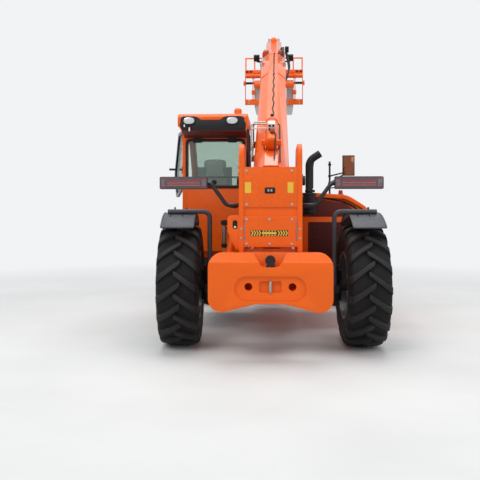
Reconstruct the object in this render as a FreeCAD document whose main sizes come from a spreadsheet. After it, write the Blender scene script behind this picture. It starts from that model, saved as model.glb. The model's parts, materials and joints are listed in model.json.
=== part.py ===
import FreeCAD
import Part
import math
import os
import Sketcher

os.makedirs("parts", exist_ok=True)
doc = FreeCAD.newDocument("telehandler")

Vector = FreeCAD.Vector
Placement = FreeCAD.Placement
Rotation = FreeCAD.Rotation

# Driving sizes in millimetres and degrees.
# Forward distances named _d are measured from the rear axle. Heights named _z are measured from a level
# under the axles, and the whole machine is then set down until its tyres meet the ground. Side distances
# are measured from the boom's middle plane, which stands a little right of the middle of the overall width.
SIZES = [
    ("centre_x", 70.0),
    ("rear_axle_y", -2995.0),
    ("wheel_base", 3000.0),
    ("axle_z", 595.0),
    ("tyre_radius", 573.0),
    ("tyre_width", 383.0),
    ("bead_radius", 300.0),
    ("track_half", 852.0),
    ("kingpin_x", 590.0),
    ("rear_steer_angle", 3.0),
    ("seat_gap", 0.3),
    ("shaft_gap", 0.05),
    ("move_gap", 6.0),
    ("hub_radius", 120.0),
    ("spindle_radius", 55.0),
    ("kingpin_radius", 30.0),
    ("knuckle_radius", 70.0),
    ("knuckle_height", 280.0),
    ("axle_tube_radius", 85.0),
    ("ear_thick", 42.0),
    ("fender_radius", 680.0),
    ("fender_offset", 121.0),
    ("fender_width", 297.0),
    ("fender_half_angle", 36.0),
    ("fender_sheet", 8.0),
    ("fender_post_radius", 22.0),
    ("cheek_inner_x", 233.0),
    ("cheek_thick", 40.0),
    ("frame_top_z", 840.0),
    ("frame_belly_z", 450.0),
    ("frame_axle_z", 720.0),
    ("tower_rear_d", -600.0),
    ("tower_top_z", 1880.0),
    ("counterweight_rear_d", -780.0),
    ("counterweight_half_width", 523.0),
    ("counterweight_top_z", 943.0),
    ("counterweight_bottom_z", 450.0),
    ("boom_pivot_d", -200.0),
    ("boom_pivot_z", 1570.0),
    ("boom_angle", 25.1),
    ("boom_pin_radius", 45.0),
    ("boom_half_width", 170.0),
    ("boom_top_v", 106.0),
    ("boom_bottom_v", -314.0),
    ("boom_rear_u", 116.0),
    ("boom_front_u", 4860.0),
    ("boom_wall", 12.0),
    ("collar_rear_u", 3573.0),
    ("collar_thick", 8.0),
    ("inner_half_width", 130.0),
    ("inner_top_v", 74.0),
    ("inner_bottom_v", -280.0),
    ("inner_rear_u", 1900.0),
    ("inner_front_u", 6140.0),
    ("inner_wall", 10.0),
    ("head_pivot_u", 5918.0),
    ("head_pivot_v", -685.0),
    ("head_pin_radius", 30.0),
    ("lift_base_d", -100.0),
    ("lift_base_z", 870.0),
    ("lift_eye_u", 1300.0),
    ("lift_eye_v", -460.0),
    ("lift_pin_radius", 30.0),
    ("lift_barrel_radius", 75.0),
    ("lift_rod_radius", 40.0),
    ("lift_barrel_length", 1030.0),
    ("lift_rod_length", 1030.0),
    ("tilt_base_u", 5440.0),
    ("tilt_base_v", -50.0),
    ("tilt_eye_d", -40.0),
    ("tilt_eye_z", 140.0),
    ("tilt_barrel_length", 440.0),
    ("tilt_rod_length", 500.0),
    ("tilt_barrel_radius", 42.0),
    ("tilt_rod_radius", 24.0),
    ("carriage_half_width", 508.0),
    ("fork_length", 1150.0),
    ("fork_width", 120.0),
    ("fork_centre_x", 280.0),
    ("cab_left_x", -960.0),
    ("cab_right_x", -257.0),
    ("cab_rear_d", 820.0),
    ("cab_nose_d", 2080.0),
    ("cab_bottom_z", 850.0),
    ("cab_roof_z", 2215.0),
    ("cab_wall", 30.0),
    ("windscreen_foot_z", 1270.0),
    ("windscreen_head_d", 1405.0),
    ("glass_thick", 5.0),
    ("door_gap", 6.0),
    ("door_open_angle", 16.4),
    ("hood_inner_x", 300.0),
    ("hood_outer_x", 1050.0),
    ("hood_rear_d", 800.0),
    ("hood_front_d", 2150.0),
    ("hood_top_z", 1480.0),
    ("hood_bottom_z", 1000.0),
    ("hood_sheet", 8.0),
    ("pod_bottom_z", 580.0),
    ("engine_width", 500.0),
    ("engine_length", 900.0),
    ("engine_height", 600.0),
]
sheet = doc.addObject("Spreadsheet::Sheet", "Sizes")
for row, (alias, value) in enumerate(SIZES, start=1):
    sheet.set("A%d" % row, alias)
    sheet.set("B%d" % row, str(value))
    sheet.setAlias("B%d" % row, alias)
doc.recompute()


class Named:
    """Sizes read back from the sheet, one attribute each."""


s = Named()
for alias, value in SIZES:
    setattr(s, alias, float(sheet.get(alias)))

NODES = []


def at(x, d, z):
    """Point from side distance, forward distance from the rear axle and height."""
    return Vector(s.centre_x + x, s.rear_axle_y + d, z + s.tyre_radius - s.axle_z)


MACHINE = Placement(at(0, 0, 0), Rotation())
BOOM = Placement(at(0, s.boom_pivot_d, s.boom_pivot_z), Rotation(Vector(1, 0, 0), s.boom_angle))


def on_boom(x, u, v):
    """Point given along (u) and across (v) the raised boom, from its pivot."""
    return BOOM.multVec(Vector(x, u, v))


def set_size(thing, prop, size):
    """Set a property to a number, or bind it to a named size of the sheet."""
    if isinstance(size, str):
        thing.setExpression(prop, "Sizes." + size)
        return
    setattr(thing, prop, size)


def corner_edges(points):
    """Lines and tangent arcs of a closed outline; a third number rounds that corner."""
    count = len(points)
    starts = []
    ends = []
    arcs = []
    for i in range(count):
        here = Vector(points[i][0], points[i][1], 0)
        before = Vector(points[i - 1][0], points[i - 1][1], 0)
        after = Vector(points[(i + 1) % count][0], points[(i + 1) % count][1], 0)
        radius = points[i][2] if len(points[i]) > 2 else 0
        if not radius:
            starts.append(here)
            ends.append(here)
            arcs.append(None)
            continue
        back = (before - here).normalize()
        ahead = (after - here).normalize()
        half = back.getAngle(ahead) / 2
        reach = radius / math.tan(half)
        first = here + back * reach
        last = here + ahead * reach
        centre = here + (back + ahead).normalize() * (radius / math.sin(half))
        turn = (here - before).cross(after - here).z
        low, high = (first, last) if turn > 0 else (last, first)
        angle_low = math.atan2(low.y - centre.y, low.x - centre.x)
        angle_high = math.atan2(high.y - centre.y, high.x - centre.x)
        if angle_high < angle_low:
            angle_high += 2 * math.pi
        circle = Part.Circle(centre, Vector(0, 0, 1), radius)
        starts.append(first)
        ends.append(last)
        arcs.append(Part.ArcOfCircle(circle, angle_low, angle_high))
    edges = []
    for i in range(count):
        if arcs[i]:
            edges.append(arcs[i])
        target = starts[(i + 1) % count]
        if (target - ends[i]).Length > 0.001:
            edges.append(Part.LineSegment(ends[i], target))
    return edges


def sector(centre_v, low, high, half_angle):
    """Edges of an arched strip symmetric about the vertical, between two radii."""
    a0 = math.radians(90 - half_angle)
    a1 = math.radians(90 + half_angle)
    centre = Vector(0, centre_v, 0)
    edges = []
    ends = []
    for radius in (low, high):
        edges.append(Part.ArcOfCircle(Part.Circle(centre, Vector(0, 0, 1), radius), a0, a1))
        ends.append([centre + Vector(math.cos(a), math.sin(a), 0) * radius for a in (a0, a1)])
    edges.append(Part.LineSegment(ends[0][0], ends[1][0]))
    edges.append(Part.LineSegment(ends[0][1], ends[1][1]))
    return edges


def body(label, place=MACHINE):
    """Empty solid body standing at a place."""
    made = doc.addObject("PartDesign::Body", label)
    made.Placement = place
    return made


def sketch(owner, plane, offset, loops):
    """Sketch on an origin plane of a body, moved along that plane's normal."""
    drawn = owner.newObject("Sketcher::SketchObject", "Outline")
    base = [o for o in owner.Origin.OriginFeatures if o.Role == plane + "_Plane"][0]
    drawn.AttachmentSupport = [(base, "")]
    drawn.MapMode = "FlatFace"
    shift = -offset if plane == "XZ" else offset
    drawn.AttachmentOffset = Placement(Vector(0, 0, shift), Rotation())
    for loop in loops:
        if loop[0] == "circle":
            centre = Vector(loop[1], loop[2], 0)
            drawn.addGeometry(Part.Circle(centre, Vector(0, 0, 1), loop[3]))
        elif loop[0] == "edges":
            drawn.addGeometry(loop[1])
        else:
            drawn.addGeometry(corner_edges(loop))
    return drawn


def pad(owner, plane, offset, thick, *loops):
    """Solid slab, half its thickness to each side of the sketch plane."""
    made = owner.newObject("PartDesign::Pad", "Pad")
    made.Profile = sketch(owner, plane, offset, loops)
    made.SideType = "Symmetric"
    set_size(made, "Length", thick)
    owner.Tip = made
    return made


def pocket(owner, plane, offset, deep, *loops):
    """Cut of an outline, half its depth to each side of the sketch plane."""
    made = owner.newObject("PartDesign::Pocket", "Pocket")
    made.Profile = sketch(owner, plane, offset, loops)
    made.SideType = "Symmetric"
    set_size(made, "Length", deep)
    owner.Tip = made
    return made


def turned(owner, loop):
    """Solid of revolution about the body's own X axis; outline in (x, radius)."""
    drawn = sketch(owner, "XY", 0, [loop])
    made = owner.newObject("PartDesign::Revolution", "Turned")
    made.Profile = drawn
    made.ReferenceAxis = (drawn, ["H_Axis"])
    made.Angle = 360
    owner.Tip = made
    return made


def box(label, xs, ds, zs, place=MACHINE):
    """Block between two side, two forward and two height values."""
    made = doc.addObject("Part::Box", label)
    made.Length = xs[1] - xs[0]
    made.Width = ds[1] - ds[0]
    made.Height = zs[1] - zs[0]
    made.Placement = place.multiply(Placement(Vector(xs[0], ds[0], zs[0]), Rotation()))
    return made


def rod(label, start, end, radius, place=MACHINE):
    """Round bar between two points."""
    first = Vector(*start)
    last = Vector(*end)
    made = doc.addObject("Part::Cylinder", label)
    set_size(made, "Radius", radius)
    made.Height = (last - first).Length
    turn = Rotation(Vector(0, 0, 1), last - first)
    made.Placement = place.multiply(Placement(first, turn))
    return made


def fuse(label, things):
    """One solid welded up from several, a piece at a time."""
    made = things[0]
    for thing in things[1:]:
        step = doc.addObject("Part::Fuse", label)
        step.Base = made
        step.Tool = thing
        made = step
    return made


def cut(label, base, tool):
    made = doc.addObject("Part::Cut", label)
    made.Base = base
    made.Tool = tool
    return made


def pipe(label, points, bend, radius, place=MACHINE):
    """Bent round tube: straight runs joined by tangent arcs."""
    path = [Vector(*p) for p in points]
    edges = []
    last = path[0]
    for i in range(1, len(path) - 1):
        back = (path[i - 1] - path[i]).normalize()
        ahead = (path[i + 1] - path[i]).normalize()
        half = back.getAngle(ahead) / 2
        reach = bend / math.tan(half)
        first = path[i] + back * reach
        second = path[i] + ahead * reach
        middle = (back + ahead).normalize()
        summit = path[i] + middle * (bend / math.sin(half) - bend)
        if (first - last).Length > 0.001:
            edges.append(Part.LineSegment(last, first).toShape())
        edges.append(Part.Arc(first, summit, second).toShape())
        last = second
    edges.append(Part.LineSegment(last, path[-1]).toShape())
    spine = Part.Wire(edges)
    ring = Part.Wire([Part.makeCircle(radius, path[0], path[1] - path[0])])
    made = doc.addObject("Part::Feature", label)
    made.Shape = spine.makePipeShell([ring], True, True)
    made.Placement = place
    return made


def node(name, things):
    """Register one named piece made of one or several solids."""
    if len(things) == 1:
        things[0].Label = name
        NODES.append((name, things[0]))
        return
    group = doc.addObject("Part::Compound", name)
    group.Links = things
    group.Label = name
    NODES.append((name, group))


# Frame: two long side plates that rise into the boom tower, tied by cross plates between them.
cheek_mid = s.cheek_inner_x + s.cheek_thick / 2
rear_arch = 450.0
front_arch_rear = s.wheel_base - rear_arch
frame_front = s.wheel_base + 350
side_outline = [
    (s.tower_rear_d, 560, 30),
    (s.tower_rear_d, s.tower_top_z, 120),
    (150, s.tower_top_z, 200),
    (420, 1250, 150),
    (700, s.frame_top_z, 100),
    (frame_front, s.frame_top_z, 60),
    (frame_front, s.frame_axle_z, 30),
    (front_arch_rear, s.frame_axle_z, 60),
    (front_arch_rear - 110, s.frame_belly_z, 60),
    (rear_arch + 110, s.frame_belly_z, 60),
    (rear_arch, s.frame_axle_z, 60),
    (-420, s.frame_axle_z, 60),
    (-480, 560, 40),
]
pin_bore = s.boom_pin_radius + s.shaft_gap
lift_pin_bore = s.lift_pin_radius + s.shaft_gap
frame_parts = []
for side in (-1, 1):
    plate = body("side_plate")
    pad(plate, "YZ", side * cheek_mid, "cheek_thick", side_outline)
    pocket(plate, "YZ", side * cheek_mid, 2 * s.cheek_thick,
           ("circle", s.boom_pivot_d, s.boom_pivot_z, pin_bore),
           ("circle", s.lift_base_d, s.lift_base_z, lift_pin_bore))
    frame_parts.append(plate)
inner = s.cheek_inner_x
belly = s.frame_belly_z
CROSS_PLATES = [
    # rear and front of the plate, its underside and its top
    ((s.tower_rear_d + 45, s.tower_rear_d + 70), (600, 965)),
    ((rear_arch + 170, front_arch_rear - 160), (belly + 8, belly + 20)),
    ((rear_arch + 250, rear_arch + 265), (belly + 20, s.frame_top_z - 90)),
    ((front_arch_rear - 180, front_arch_rear - 165), (belly + 20, s.frame_top_z - 20)),
    ((frame_front - 30, frame_front), (s.frame_axle_z + 32, s.frame_top_z - 62)),
    ((-400, rear_arch - 30), (s.frame_axle_z + 8, s.frame_axle_z + 28)),
    ((front_arch_rear + 40, frame_front - 30), (s.frame_axle_z + 8, s.frame_axle_z + 28)),
]
for ds, zs in CROSS_PLATES:
    frame_parts.append(box("cross_plate", (-inner, inner), ds, zs))
outer = inner + s.cheek_thick
for d0 in (s.cab_rear_d + 80, s.cab_nose_d - 130):
    frame_parts.append(box("cab_outrigger", (-900, -outer), (d0, d0 + 80), (780, s.frame_top_z)))
    frame_parts.append(box("pod_outrigger", (outer, 960), (d0, d0 + 80), (500, s.pod_bottom_z)))
gusset = body("rear_gusset")
pad(gusset, "XZ", -588, 20,
    [(-outer, 966), (-outer, 1259), (-372, 1259, 40), (-372, 1120, 60), (-300, 966)],
    [(-327, 1138, 20), (-285, 1138, 20), (-285, 1216, 20), (-327, 1216, 20)])
frame_parts.append(gusset)
leg_foot = box("tower_leg_foot", (-420, -outer), (-250, -60), (780, 905))
leg = rod("tower_leg", (-392, -150, 880), (-310, -150, 1230), 36)
frame_parts.append(fuse("tower_leg_group", [leg_foot, leg]))
node("frame", frame_parts)

# Pins that carry the boom and the lift cylinder in the tower, and the pin and eye of the tow hitch.
reach = outer + 40
hitch_d = s.counterweight_rear_d + 30
node("chassis_pins", [
    rod("boom_pin", (-reach, s.boom_pivot_d, s.boom_pivot_z), (reach, s.boom_pivot_d, s.boom_pivot_z),
        "boom_pin_radius"),
    rod("lift_base_pin", (-outer, s.lift_base_d, s.lift_base_z), (outer, s.lift_base_d, s.lift_base_z),
        "lift_pin_radius"),
    rod("tow_pin", (0, hitch_d, 612), (0, hitch_d, 709), 12),
    fuse("tow_knob", [
        rod("tow_knob_head", (0, hitch_d - 8, 884), (0, hitch_d + 20, 884), 36),
        rod("tow_knob_hub", (0, hitch_d - 22, 884), (0, s.counterweight_rear_d + 95, 884), 15),
    ]),
])

# Counterweight casting, with its ends hollowed in front for the steered wheels.
half = s.counterweight_half_width
top = s.counterweight_top_z
low = s.counterweight_bottom_z
rear_face = s.counterweight_rear_d
front_face = s.tower_rear_d
weight = body("counterweight")
pad(weight, "XZ", (front_face + rear_face) / 2, front_face - rear_face,
    [(-half, low, 110), (-half, top, 115), (half, top, 115), (half, low, 110),
     (391, low, 60), (120, low + 70, 300), (-120, low + 70, 300), (-391, low, 60)])
pocket(weight, "YZ", 0, 4 * half,
       [(rear_face - 5, top - 82), (rear_face, top - 82, 30), (rear_face + 46, top),
        (rear_face + 46, top + 5),
        (rear_face - 5, top + 5)])
for side in (-1, 1):
    pocket(weight, "XY", 700, 1200,
           [(side * 386, front_face + 17), (side * (half + 20), front_face + 17),
            (side * (half + 20), front_face - 88)])
pocket(weight, "XZ", rear_face, 56, [(-302, 538, 105), (-302, 751, 105), (302, 751, 105), (302, 538, 105)])
pocket(weight, "XZ", rear_face, 120, [(-94, 612, 20), (-94, 709, 20), (94, 709, 20), (94, 612, 20)])
pocket(weight, "XZ", rear_face, 500, ("circle", -185, 659, 33), ("circle", 185, 659, 33))
pocket(weight, "XZ", rear_face, 190, [(-72, 826, 40), (-150, top + 20), (150, top + 20), (72, 826, 40)])
node("counterweight", [weight])

# Rear cover panels between the tower cheeks.
cover = inner - 1
upper = body("upper_cover")
pad(upper, "XZ", s.tower_rear_d + 8, 12, [(-cover, 1330), (-cover, 1674), (cover, 1674), (cover, 1330)])
lower = body("lower_cover")
pad(lower, "XZ", s.tower_rear_d + 8, 12, [(-cover, 985), (-cover, 1252), (cover, 1252), (cover, 985)])
for x in (-cover, cover - 15):
    pocket(lower, "XZ", s.tower_rear_d + 8, 60, [(x, 1035, 7), (x, 1215, 7), (x + 15, 1215, 7),
                                                 (x + 15, 1035, 7)])
strip = body("strip_cover")
pad(strip, "XZ", s.tower_rear_d + 26, 12, [(-cover, 1246), (-cover, 1336), (cover, 1336), (cover, 1246)])
node("rear_covers", [fuse("rear_cover_sheets", [
    upper, lower, strip,
    box("cover_fold_low", (-cover, cover), (s.tower_rear_d + 8, s.tower_rear_d + 26), (1246, 1252)),
    box("cover_fold_high", (-cover, cover), (s.tower_rear_d + 8, s.tower_rear_d + 26), (1330, 1336)),
    box("cover_tab_left", (-inner, -cover + 4), (s.tower_rear_d + 8, s.tower_rear_d + 40), (1000, 1660)),
    box("cover_tab_right", (cover - 4, inner), (s.tower_rear_d + 8, s.tower_rear_d + 40), (1000, 1660)),
])])

# Axles, knuckles, wheels and fenders at the four corners.
ear_x0 = s.kingpin_x - 130
half_height = s.knuckle_height / 2
ear_top = half_height + s.seat_gap + s.ear_thick
wheel_offset = s.track_half - s.kingpin_x
for axle, d in (("rear", 0.0), ("front", s.wheel_base)):
    place = Placement(at(0, d, s.axle_z), Rotation())
    parts = [
        rod("axle_tube", (-ear_x0 - 10, 0, 0), (ear_x0 + 10, 0, 0), "axle_tube_radius", place),
        rod("differential", (0, -150, 0), (0, 165, 0), 118, place),
        box("axle_seat", (-300, 300), (-150, 150), (60, s.frame_axle_z - s.axle_z), place),
        rod("steering_barrel", (-210, -165, 0), (210, -165, 0), 42, place),
        box("steering_lug", (-60, 60), (-150, -60), (-60, 60), place),
    ]
    for side in (-1, 1):
        ear = body("axle_ears", place)
        x0 = side * ear_x0
        x1 = side * (s.kingpin_x - 88)
        x2 = side * (s.kingpin_x + 45)
        gap = half_height + s.seat_gap
        pad(ear, "XZ", 0, 90,
            [(x0, -ear_top), (x2, -ear_top), (x2, -gap), (x1, -gap),
             (x1, gap), (x2, gap), (x2, ear_top), (x0, ear_top)])
        pocket(ear, "XY", 0, 4 * ear_top, ("circle", side * s.kingpin_x, 0, s.kingpin_radius + s.shaft_gap))
        parts.append(ear)
    node("axle_" + axle, [fuse("axle_casting", parts)])

CORNERS = [
    ("rear_left", -1, 0.0, s.rear_steer_angle),
    ("rear_right", 1, 0.0, s.rear_steer_angle),
    ("front_left", -1, s.wheel_base, 0.0),
    ("front_right", 1, s.wheel_base, 0.0),
]
hub_bore = s.spindle_radius + s.shaft_gap
rim_face = s.bead_radius - s.seat_gap
for corner, side, d, steer in CORNERS:
    kingpin = Placement(at(side * s.kingpin_x, d, s.axle_z), Rotation(Vector(0, 0, 1), steer))
    wheel = kingpin.multiply(Placement(Vector(side * wheel_offset, 0, 0), Rotation()))
    reach = side * (wheel_offset + 14)
    node("knuckle_" + corner, [fuse("knuckle_casting", [
        rod("knuckle_housing", (0, 0, -half_height), (0, 0, half_height), "knuckle_radius", kingpin),
        rod("kingpin", (0, 0, -ear_top - 12), (0, 0, ear_top + 12), "kingpin_radius", kingpin),
        rod("spindle", (0, 0, 0), (reach, 0, 0), "spindle_radius", kingpin),
        box("fender_foot", (-35, 35), (-149, -40), (-60, 10), kingpin),
    ])])
    half_width = s.tyre_width / 2
    tyre = body("tyre", wheel)
    turned(tyre, [
        (-165, s.bead_radius), (-165, s.bead_radius + 24, 8), (-half_width, s.bead_radius + 120, 60),
        (-half_width, s.tyre_radius - 100, 50), (-half_width + 20, s.tyre_radius - 28, 12), (-80,
            s.tyre_radius, 200),
        (80, s.tyre_radius, 200), (half_width - 20, s.tyre_radius - 28, 12), (half_width,
         s.tyre_radius - 100, 50),
        (half_width, s.bead_radius + 120, 60), (165, s.bead_radius + 24, 8), (165, s.bead_radius)])
    node("tyre_" + corner, [tyre])
    rim = body("rim", wheel)
    outline = [
        (-178, rim_face - 11), (-178, rim_face + 20), (-165.3, rim_face + 20), (-165.3, rim_face),
        (165.3, rim_face), (165.3, rim_face + 20), (178, rim_face + 20), (178, rim_face - 11),
        (24, rim_face - 11, 20), (24, s.hub_radius), (85, s.hub_radius, 24), (85, 0), (20, 0), (20, hub_bore),
        (-130, hub_bore), (-130, s.hub_radius), (8, s.hub_radius), (8, rim_face - 11)]
    turned(rim, [(side * p[0],) + tuple(p[1:]) for p in outline])
    node("rim_" + corner, [rim])
    skin = body("fender_skin", kingpin)
    fender_x = side * (s.fender_offset + s.fender_width / 2)
    fender_end = side * (s.fender_offset + s.fender_width - 38)
    pad(skin, "YZ", fender_x, "fender_width",
        ("edges", sector(0, s.fender_radius - s.fender_sheet, s.fender_radius, s.fender_half_angle)))
    post_y = -125
    crown = s.fender_radius + s.fender_post_radius + s.seat_gap
    post_z = math.sqrt(crown ** 2 - post_y ** 2)
    post = pipe("fender_post", [
        (side * -12, post_y, 10), (side * -12, post_y, post_z), (fender_end, post_y, post_z)],
        60, s.fender_post_radius, kingpin)
    node("fender_" + corner, [skin, post])

# Cab: welded walls around a hollow, with window openings and panes of glass.
x_left = s.cab_left_x
x_right = s.cab_right_x
wall = s.cab_wall
rear = s.cab_rear_d
nose = s.cab_nose_d
roof = s.cab_roof_z
foot = s.windscreen_foot_z
head = s.windscreen_head_d
bottom = s.cab_bottom_z
slope = Vector(head - nose, roof - foot, 0).normalize()
outward = Vector(slope.y, -slope.x, 0)


def on_screen(along, offset):
    """Point of the windscreen's side view: along it from its foot, and out of it."""
    point = Vector(nose, foot, 0) + slope * along + outward * offset
    return (point.x, point.y)


screen_length = math.hypot(head - nose, roof - foot)
inner_foot = on_screen(0, -wall)
inner_corner = (nose - wall, inner_foot[1] + (nose - wall - inner_foot[0]) * slope.y / slope.x)
inner_head = on_screen(screen_length, -wall)
inner_top = (inner_head[0] + (roof - inner_head[1]) * slope.x / slope.y, roof)
rear_wall = body("rear_wall")
pad(rear_wall, "YZ", (x_left + x_right) / 2, x_right - x_left,
    [(rear, bottom), (rear, roof), (rear + wall, roof), (rear + wall, bottom)])
pocket(rear_wall, "XZ", rear, 200, [(-895, 1563, 40), (-895, 2026, 40), (-316, 2026, 40), (-316, 1563, 40)])
node("cab_rear_wall", [rear_wall])
side_view = [(rear + wall, bottom), (rear + wall, roof), inner_top, inner_corner, (nose - wall, bottom)]
right_wall = body("right_wall")
pad(right_wall, "YZ", x_right - wall / 2, "cab_wall", side_view)
pocket(right_wall, "YZ", x_right, 4 * wall,
       [(rear + 90, 1480, 50), (rear + 90, 2130, 50), (1340, 2130, 50), (1790, 1480, 50)])
node("cab_right_wall", [right_wall])
DOOR_OPENING = [
    (rear + 42, 905, 30), (rear + 42, 2180, 30), (1304, 2180, 40), (1614, 1750, 60),
    (1632, 1650, 60), (1475, 1430, 90), (1475, 905, 30)]
left_wall = body("left_wall")
pad(left_wall, "YZ", x_left + wall / 2, "cab_wall", side_view)
pocket(left_wall, "YZ", x_left, 4 * wall, DOOR_OPENING)
hinge_x = x_left - 8 - s.seat_gap
hinge_d = rear + 42 + s.door_gap
pin_d = hinge_d + 12
hinge_pins = []
for z in (1700, 2060):
    hinge_pins.append(rod("door_hinge_pin", (hinge_x, pin_d, z - 12), (hinge_x, pin_d, z + 72), 4))
    for foot_z in (z - 12, z + 62):
        hinge_pins.append(box("door_hinge_arm", (hinge_x - 7, x_left - 6), (rear + 18, pin_d + 6),
                              (foot_z, foot_z + 10)))
        hinge_pins.append(box("door_hinge_foot", (x_left - 6, x_left), (rear + 18, rear + 38),
                              (foot_z, foot_z + 10)))
node("cab_left_frame", [fuse("cab_left_hinged", [left_wall] + hinge_pins)])
front_wall = body("front_wall")
pad(front_wall, "YZ", (x_left + x_right) / 2, x_right - x_left,
    [(nose, bottom), (nose, foot), (head, roof), inner_top, inner_corner, (nose - wall, bottom)])
pocket(front_wall, "XZ", (nose + head) / 2, 1200,
       [(x_left + 65, 1330, 40), (x_left + 65, 2150, 40), (x_right - 65, 2150, 40), (x_right - 65, 1330, 40)])
node("cab_front_wall", [front_wall])
floor = body("floor")
pad(floor, "YZ", (x_left + x_right) / 2, x_right - x_left - 2 * wall,
    [(rear + wall, bottom), (rear + wall, bottom + 50), (nose - wall, bottom + 50), (nose - wall, bottom)])
cab_mounts = [
    box("cab_mount", (x - 40, x + 40), (d, d + 70), (s.frame_top_z, bottom))
    for x in (-860, -cheek_mid - 8 - 20) for d in (905, 1955)]
node("cab_floor", [fuse("floor_on_mounts", [floor] + cab_mounts)])
roof_shell = body("roof_shell")
pad(roof_shell, "YZ", (x_left + x_right) / 2, x_right - x_left + 14,
    [(510, 2112), (510, 2262, 30), (600, 2297, 60), (head - 20, 2297, 60), (head + 45, 2240, 20),
     (head + 45, roof), (rear, roof), (rear, 2068)])
pocket(roof_shell, "XY", roof, 400,
       [(x_left + 120, 930, 40), (x_left + 120, 1330, 40), (x_right - 120, 1330, 40),
        (x_right - 120, 930, 40)])
VISOR = [
    (x_left + 48, 2136), (x_left + 22, 2190), (x_left + 22, 2258, 30), (-770, 2258, 40), (-728, 2224,
        40), (-528, 2224, 40),
    (-486, 2258, 40), (x_right - 22, 2258, 30), (x_right - 22, 2136, 20)]
pocket(roof_shell, "XZ", 660, 320,
       [(x_left - 20, 2161), (x_left - 20, 2040), (x_left + 63, 2040), (x_left + 5, 2161)])
pocket(roof_shell, "XZ", 510, 24, VISOR)
node("cab_roof", [roof_shell])
visor = body("visor_panel")
panel_d = 522 - s.seat_gap - 5
pad(visor, "XZ", panel_d, 10, VISOR)
lamps = []
for x in (-849, -404):
    lamp = body("visor_lamp")
    pad(lamp, "XZ", panel_d - 11 - s.seat_gap, 12, [(x - 56, 2181, 34), (x - 56, 2251, 34),
        (x + 56, 2251, 34), (x + 56, 2181, 34)])
    lamps.append(lamp)
node("cab_visor", [visor] + lamps)
glass = s.glass_thick
gap = s.seat_gap
rear_pane = body("rear_pane")
pad(rear_pane, "XZ", rear - gap - glass / 2, "glass_thick",
    [(-917, 1541, 30), (-917, 2048, 30), (-294, 2048, 30), (-294, 1541, 30)])
right_pane = body("right_pane")
pad(right_pane, "YZ", x_right - wall - gap - glass / 2, "glass_thick",
    [(rear + 70, 1460, 30), (rear + 70, 2150, 30), (1350, 2150, 30), (1815, 1460, 30)])
screen_pane = body("screen_pane")
pad(screen_pane, "YZ", (x_left + x_right) / 2, x_right - x_left - 110,
    [on_screen(40, -wall - gap), on_screen(1100, -wall - gap),
     on_screen(1100, -wall - gap - glass), on_screen(40, -wall - gap - glass)])
roof_pane = box("roof_pane", (x_left + 100, x_right - 100), (910, 1350), (2297 + gap, 2297 + gap + glass))
node("cab_glass", [rear_pane, right_pane, screen_pane, roof_pane])

# Seat, pedestal, console and steering column inside the cab.
seat_x = -615
floor_top = bottom + 50
node("seat_base", [
    box("seat_pedestal", (seat_x - 170, seat_x + 170), (960, 1330), (floor_top, 1250)),
])
cushion = box("cushion", (seat_x - 240, seat_x + 240), (940, 1430), (1250.3, 1370))
back = body("back_cushion")
pad(back, "YZ", seat_x, 440, [(935, 1370.3), (885, 1760, 30), (985, 1760, 30), (1050, 1370.3)])
headrest = body("headrest")
pad(headrest, "YZ", seat_x, 280, [(915, 1760.3), (895, 1890, 30), (965, 1890, 30), (965, 1760.3)])
node("seat_cushions", [cushion, back, headrest])
column = fuse("steering_group", [
    rod("column", (seat_x, 1755, floor_top + 40), (seat_x, 1600, 1520), 32),
    box("column_foot", (seat_x - 70, seat_x + 70), (1690, 1830), (floor_top, 960)),
    rod("wheel_hub", (seat_x, 1606, 1497), (seat_x, 1592, 1550), 48),
    rod("wheel_plate", (seat_x, 1599, 1524), (seat_x, 1594, 1543), 185),
])
dash = box("dash_case", (x_left + wall + 40, x_right - wall - 40), (1850, nose - wall), (floor_top, 1230))
node("cab_controls", [column, dash])

# Door: lower panel and upper window leaf in one opening.
gap = s.door_gap
door_low = body("door_low")
door_edge = 1475 - gap
pad(door_low, "YZ", x_left + wall / 2, "cab_wall",
    [(hinge_d, 905 + gap, 26), (hinge_d, 2146), (hinge_d + 18, 2146), (hinge_d + 18, 1550),
     (hinge_d + 380, 1452), (door_edge, 1430), (door_edge, 905 + gap, 26)])
pocket(door_low, "YZ", x_left, 4 * wall,
       [(hinge_d + 60, 1010, 30), (hinge_d + 60, 1470, 30), (door_edge - 60, 1370, 30),
        (door_edge - 60, 1010, 30)])
node("door_lower", [door_low])
HINGE = Placement(at(hinge_x, pin_d, 0), Rotation(Vector(0, 0, 1), s.door_open_angle))
leaf_place = HINGE.multiply(Placement(Vector(x_left + 3 - hinge_x, hinge_d - pin_d, 0), Rotation()))
leaf = body("leaf", leaf_place)
pad(leaf, "YZ", wall / 2, 24,
    [(22, 1564, 20), (22, 2168, 20), (428, 2168, 40), (738, 1746, 56), (755, 1652, 56),
     (604, 1440, 60), (500, 1440, 40)])
pocket(leaf, "YZ", 0, 200,
       [(62, 1605, 30), (62, 2128, 30), (405, 2128, 30), (697, 1736, 40), (706, 1664, 40),
        (586, 1490, 40), (500, 1486, 30)])
leaf_parts = [leaf, rod("peg_handle", (-66, 700, 1770), (8, 700, 1770), 13, leaf_place)]
leaf_bores = []
for z in (1700, 2060):
    leaf_parts.append(rod("leaf_hinge", (0, 0, z), (0, 0, z + 60), 8, HINGE))
    leaf_parts.append(box("leaf_hinge_plate", (-2, 18), (4, 34), (z, z + 60), HINGE))
    leaf_bores.append(rod("leaf_hinge_bore", (0, 0, z - 5), (0, 0, z + 65), 4 + s.shaft_gap, HINGE))
node("door_window_frame", [cut("leaf_bored", fuse("leaf_with_peg", leaf_parts),
                               fuse("leaf_bores", leaf_bores))])
leaf_glass = body("leaf_glass", leaf_place)
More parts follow.
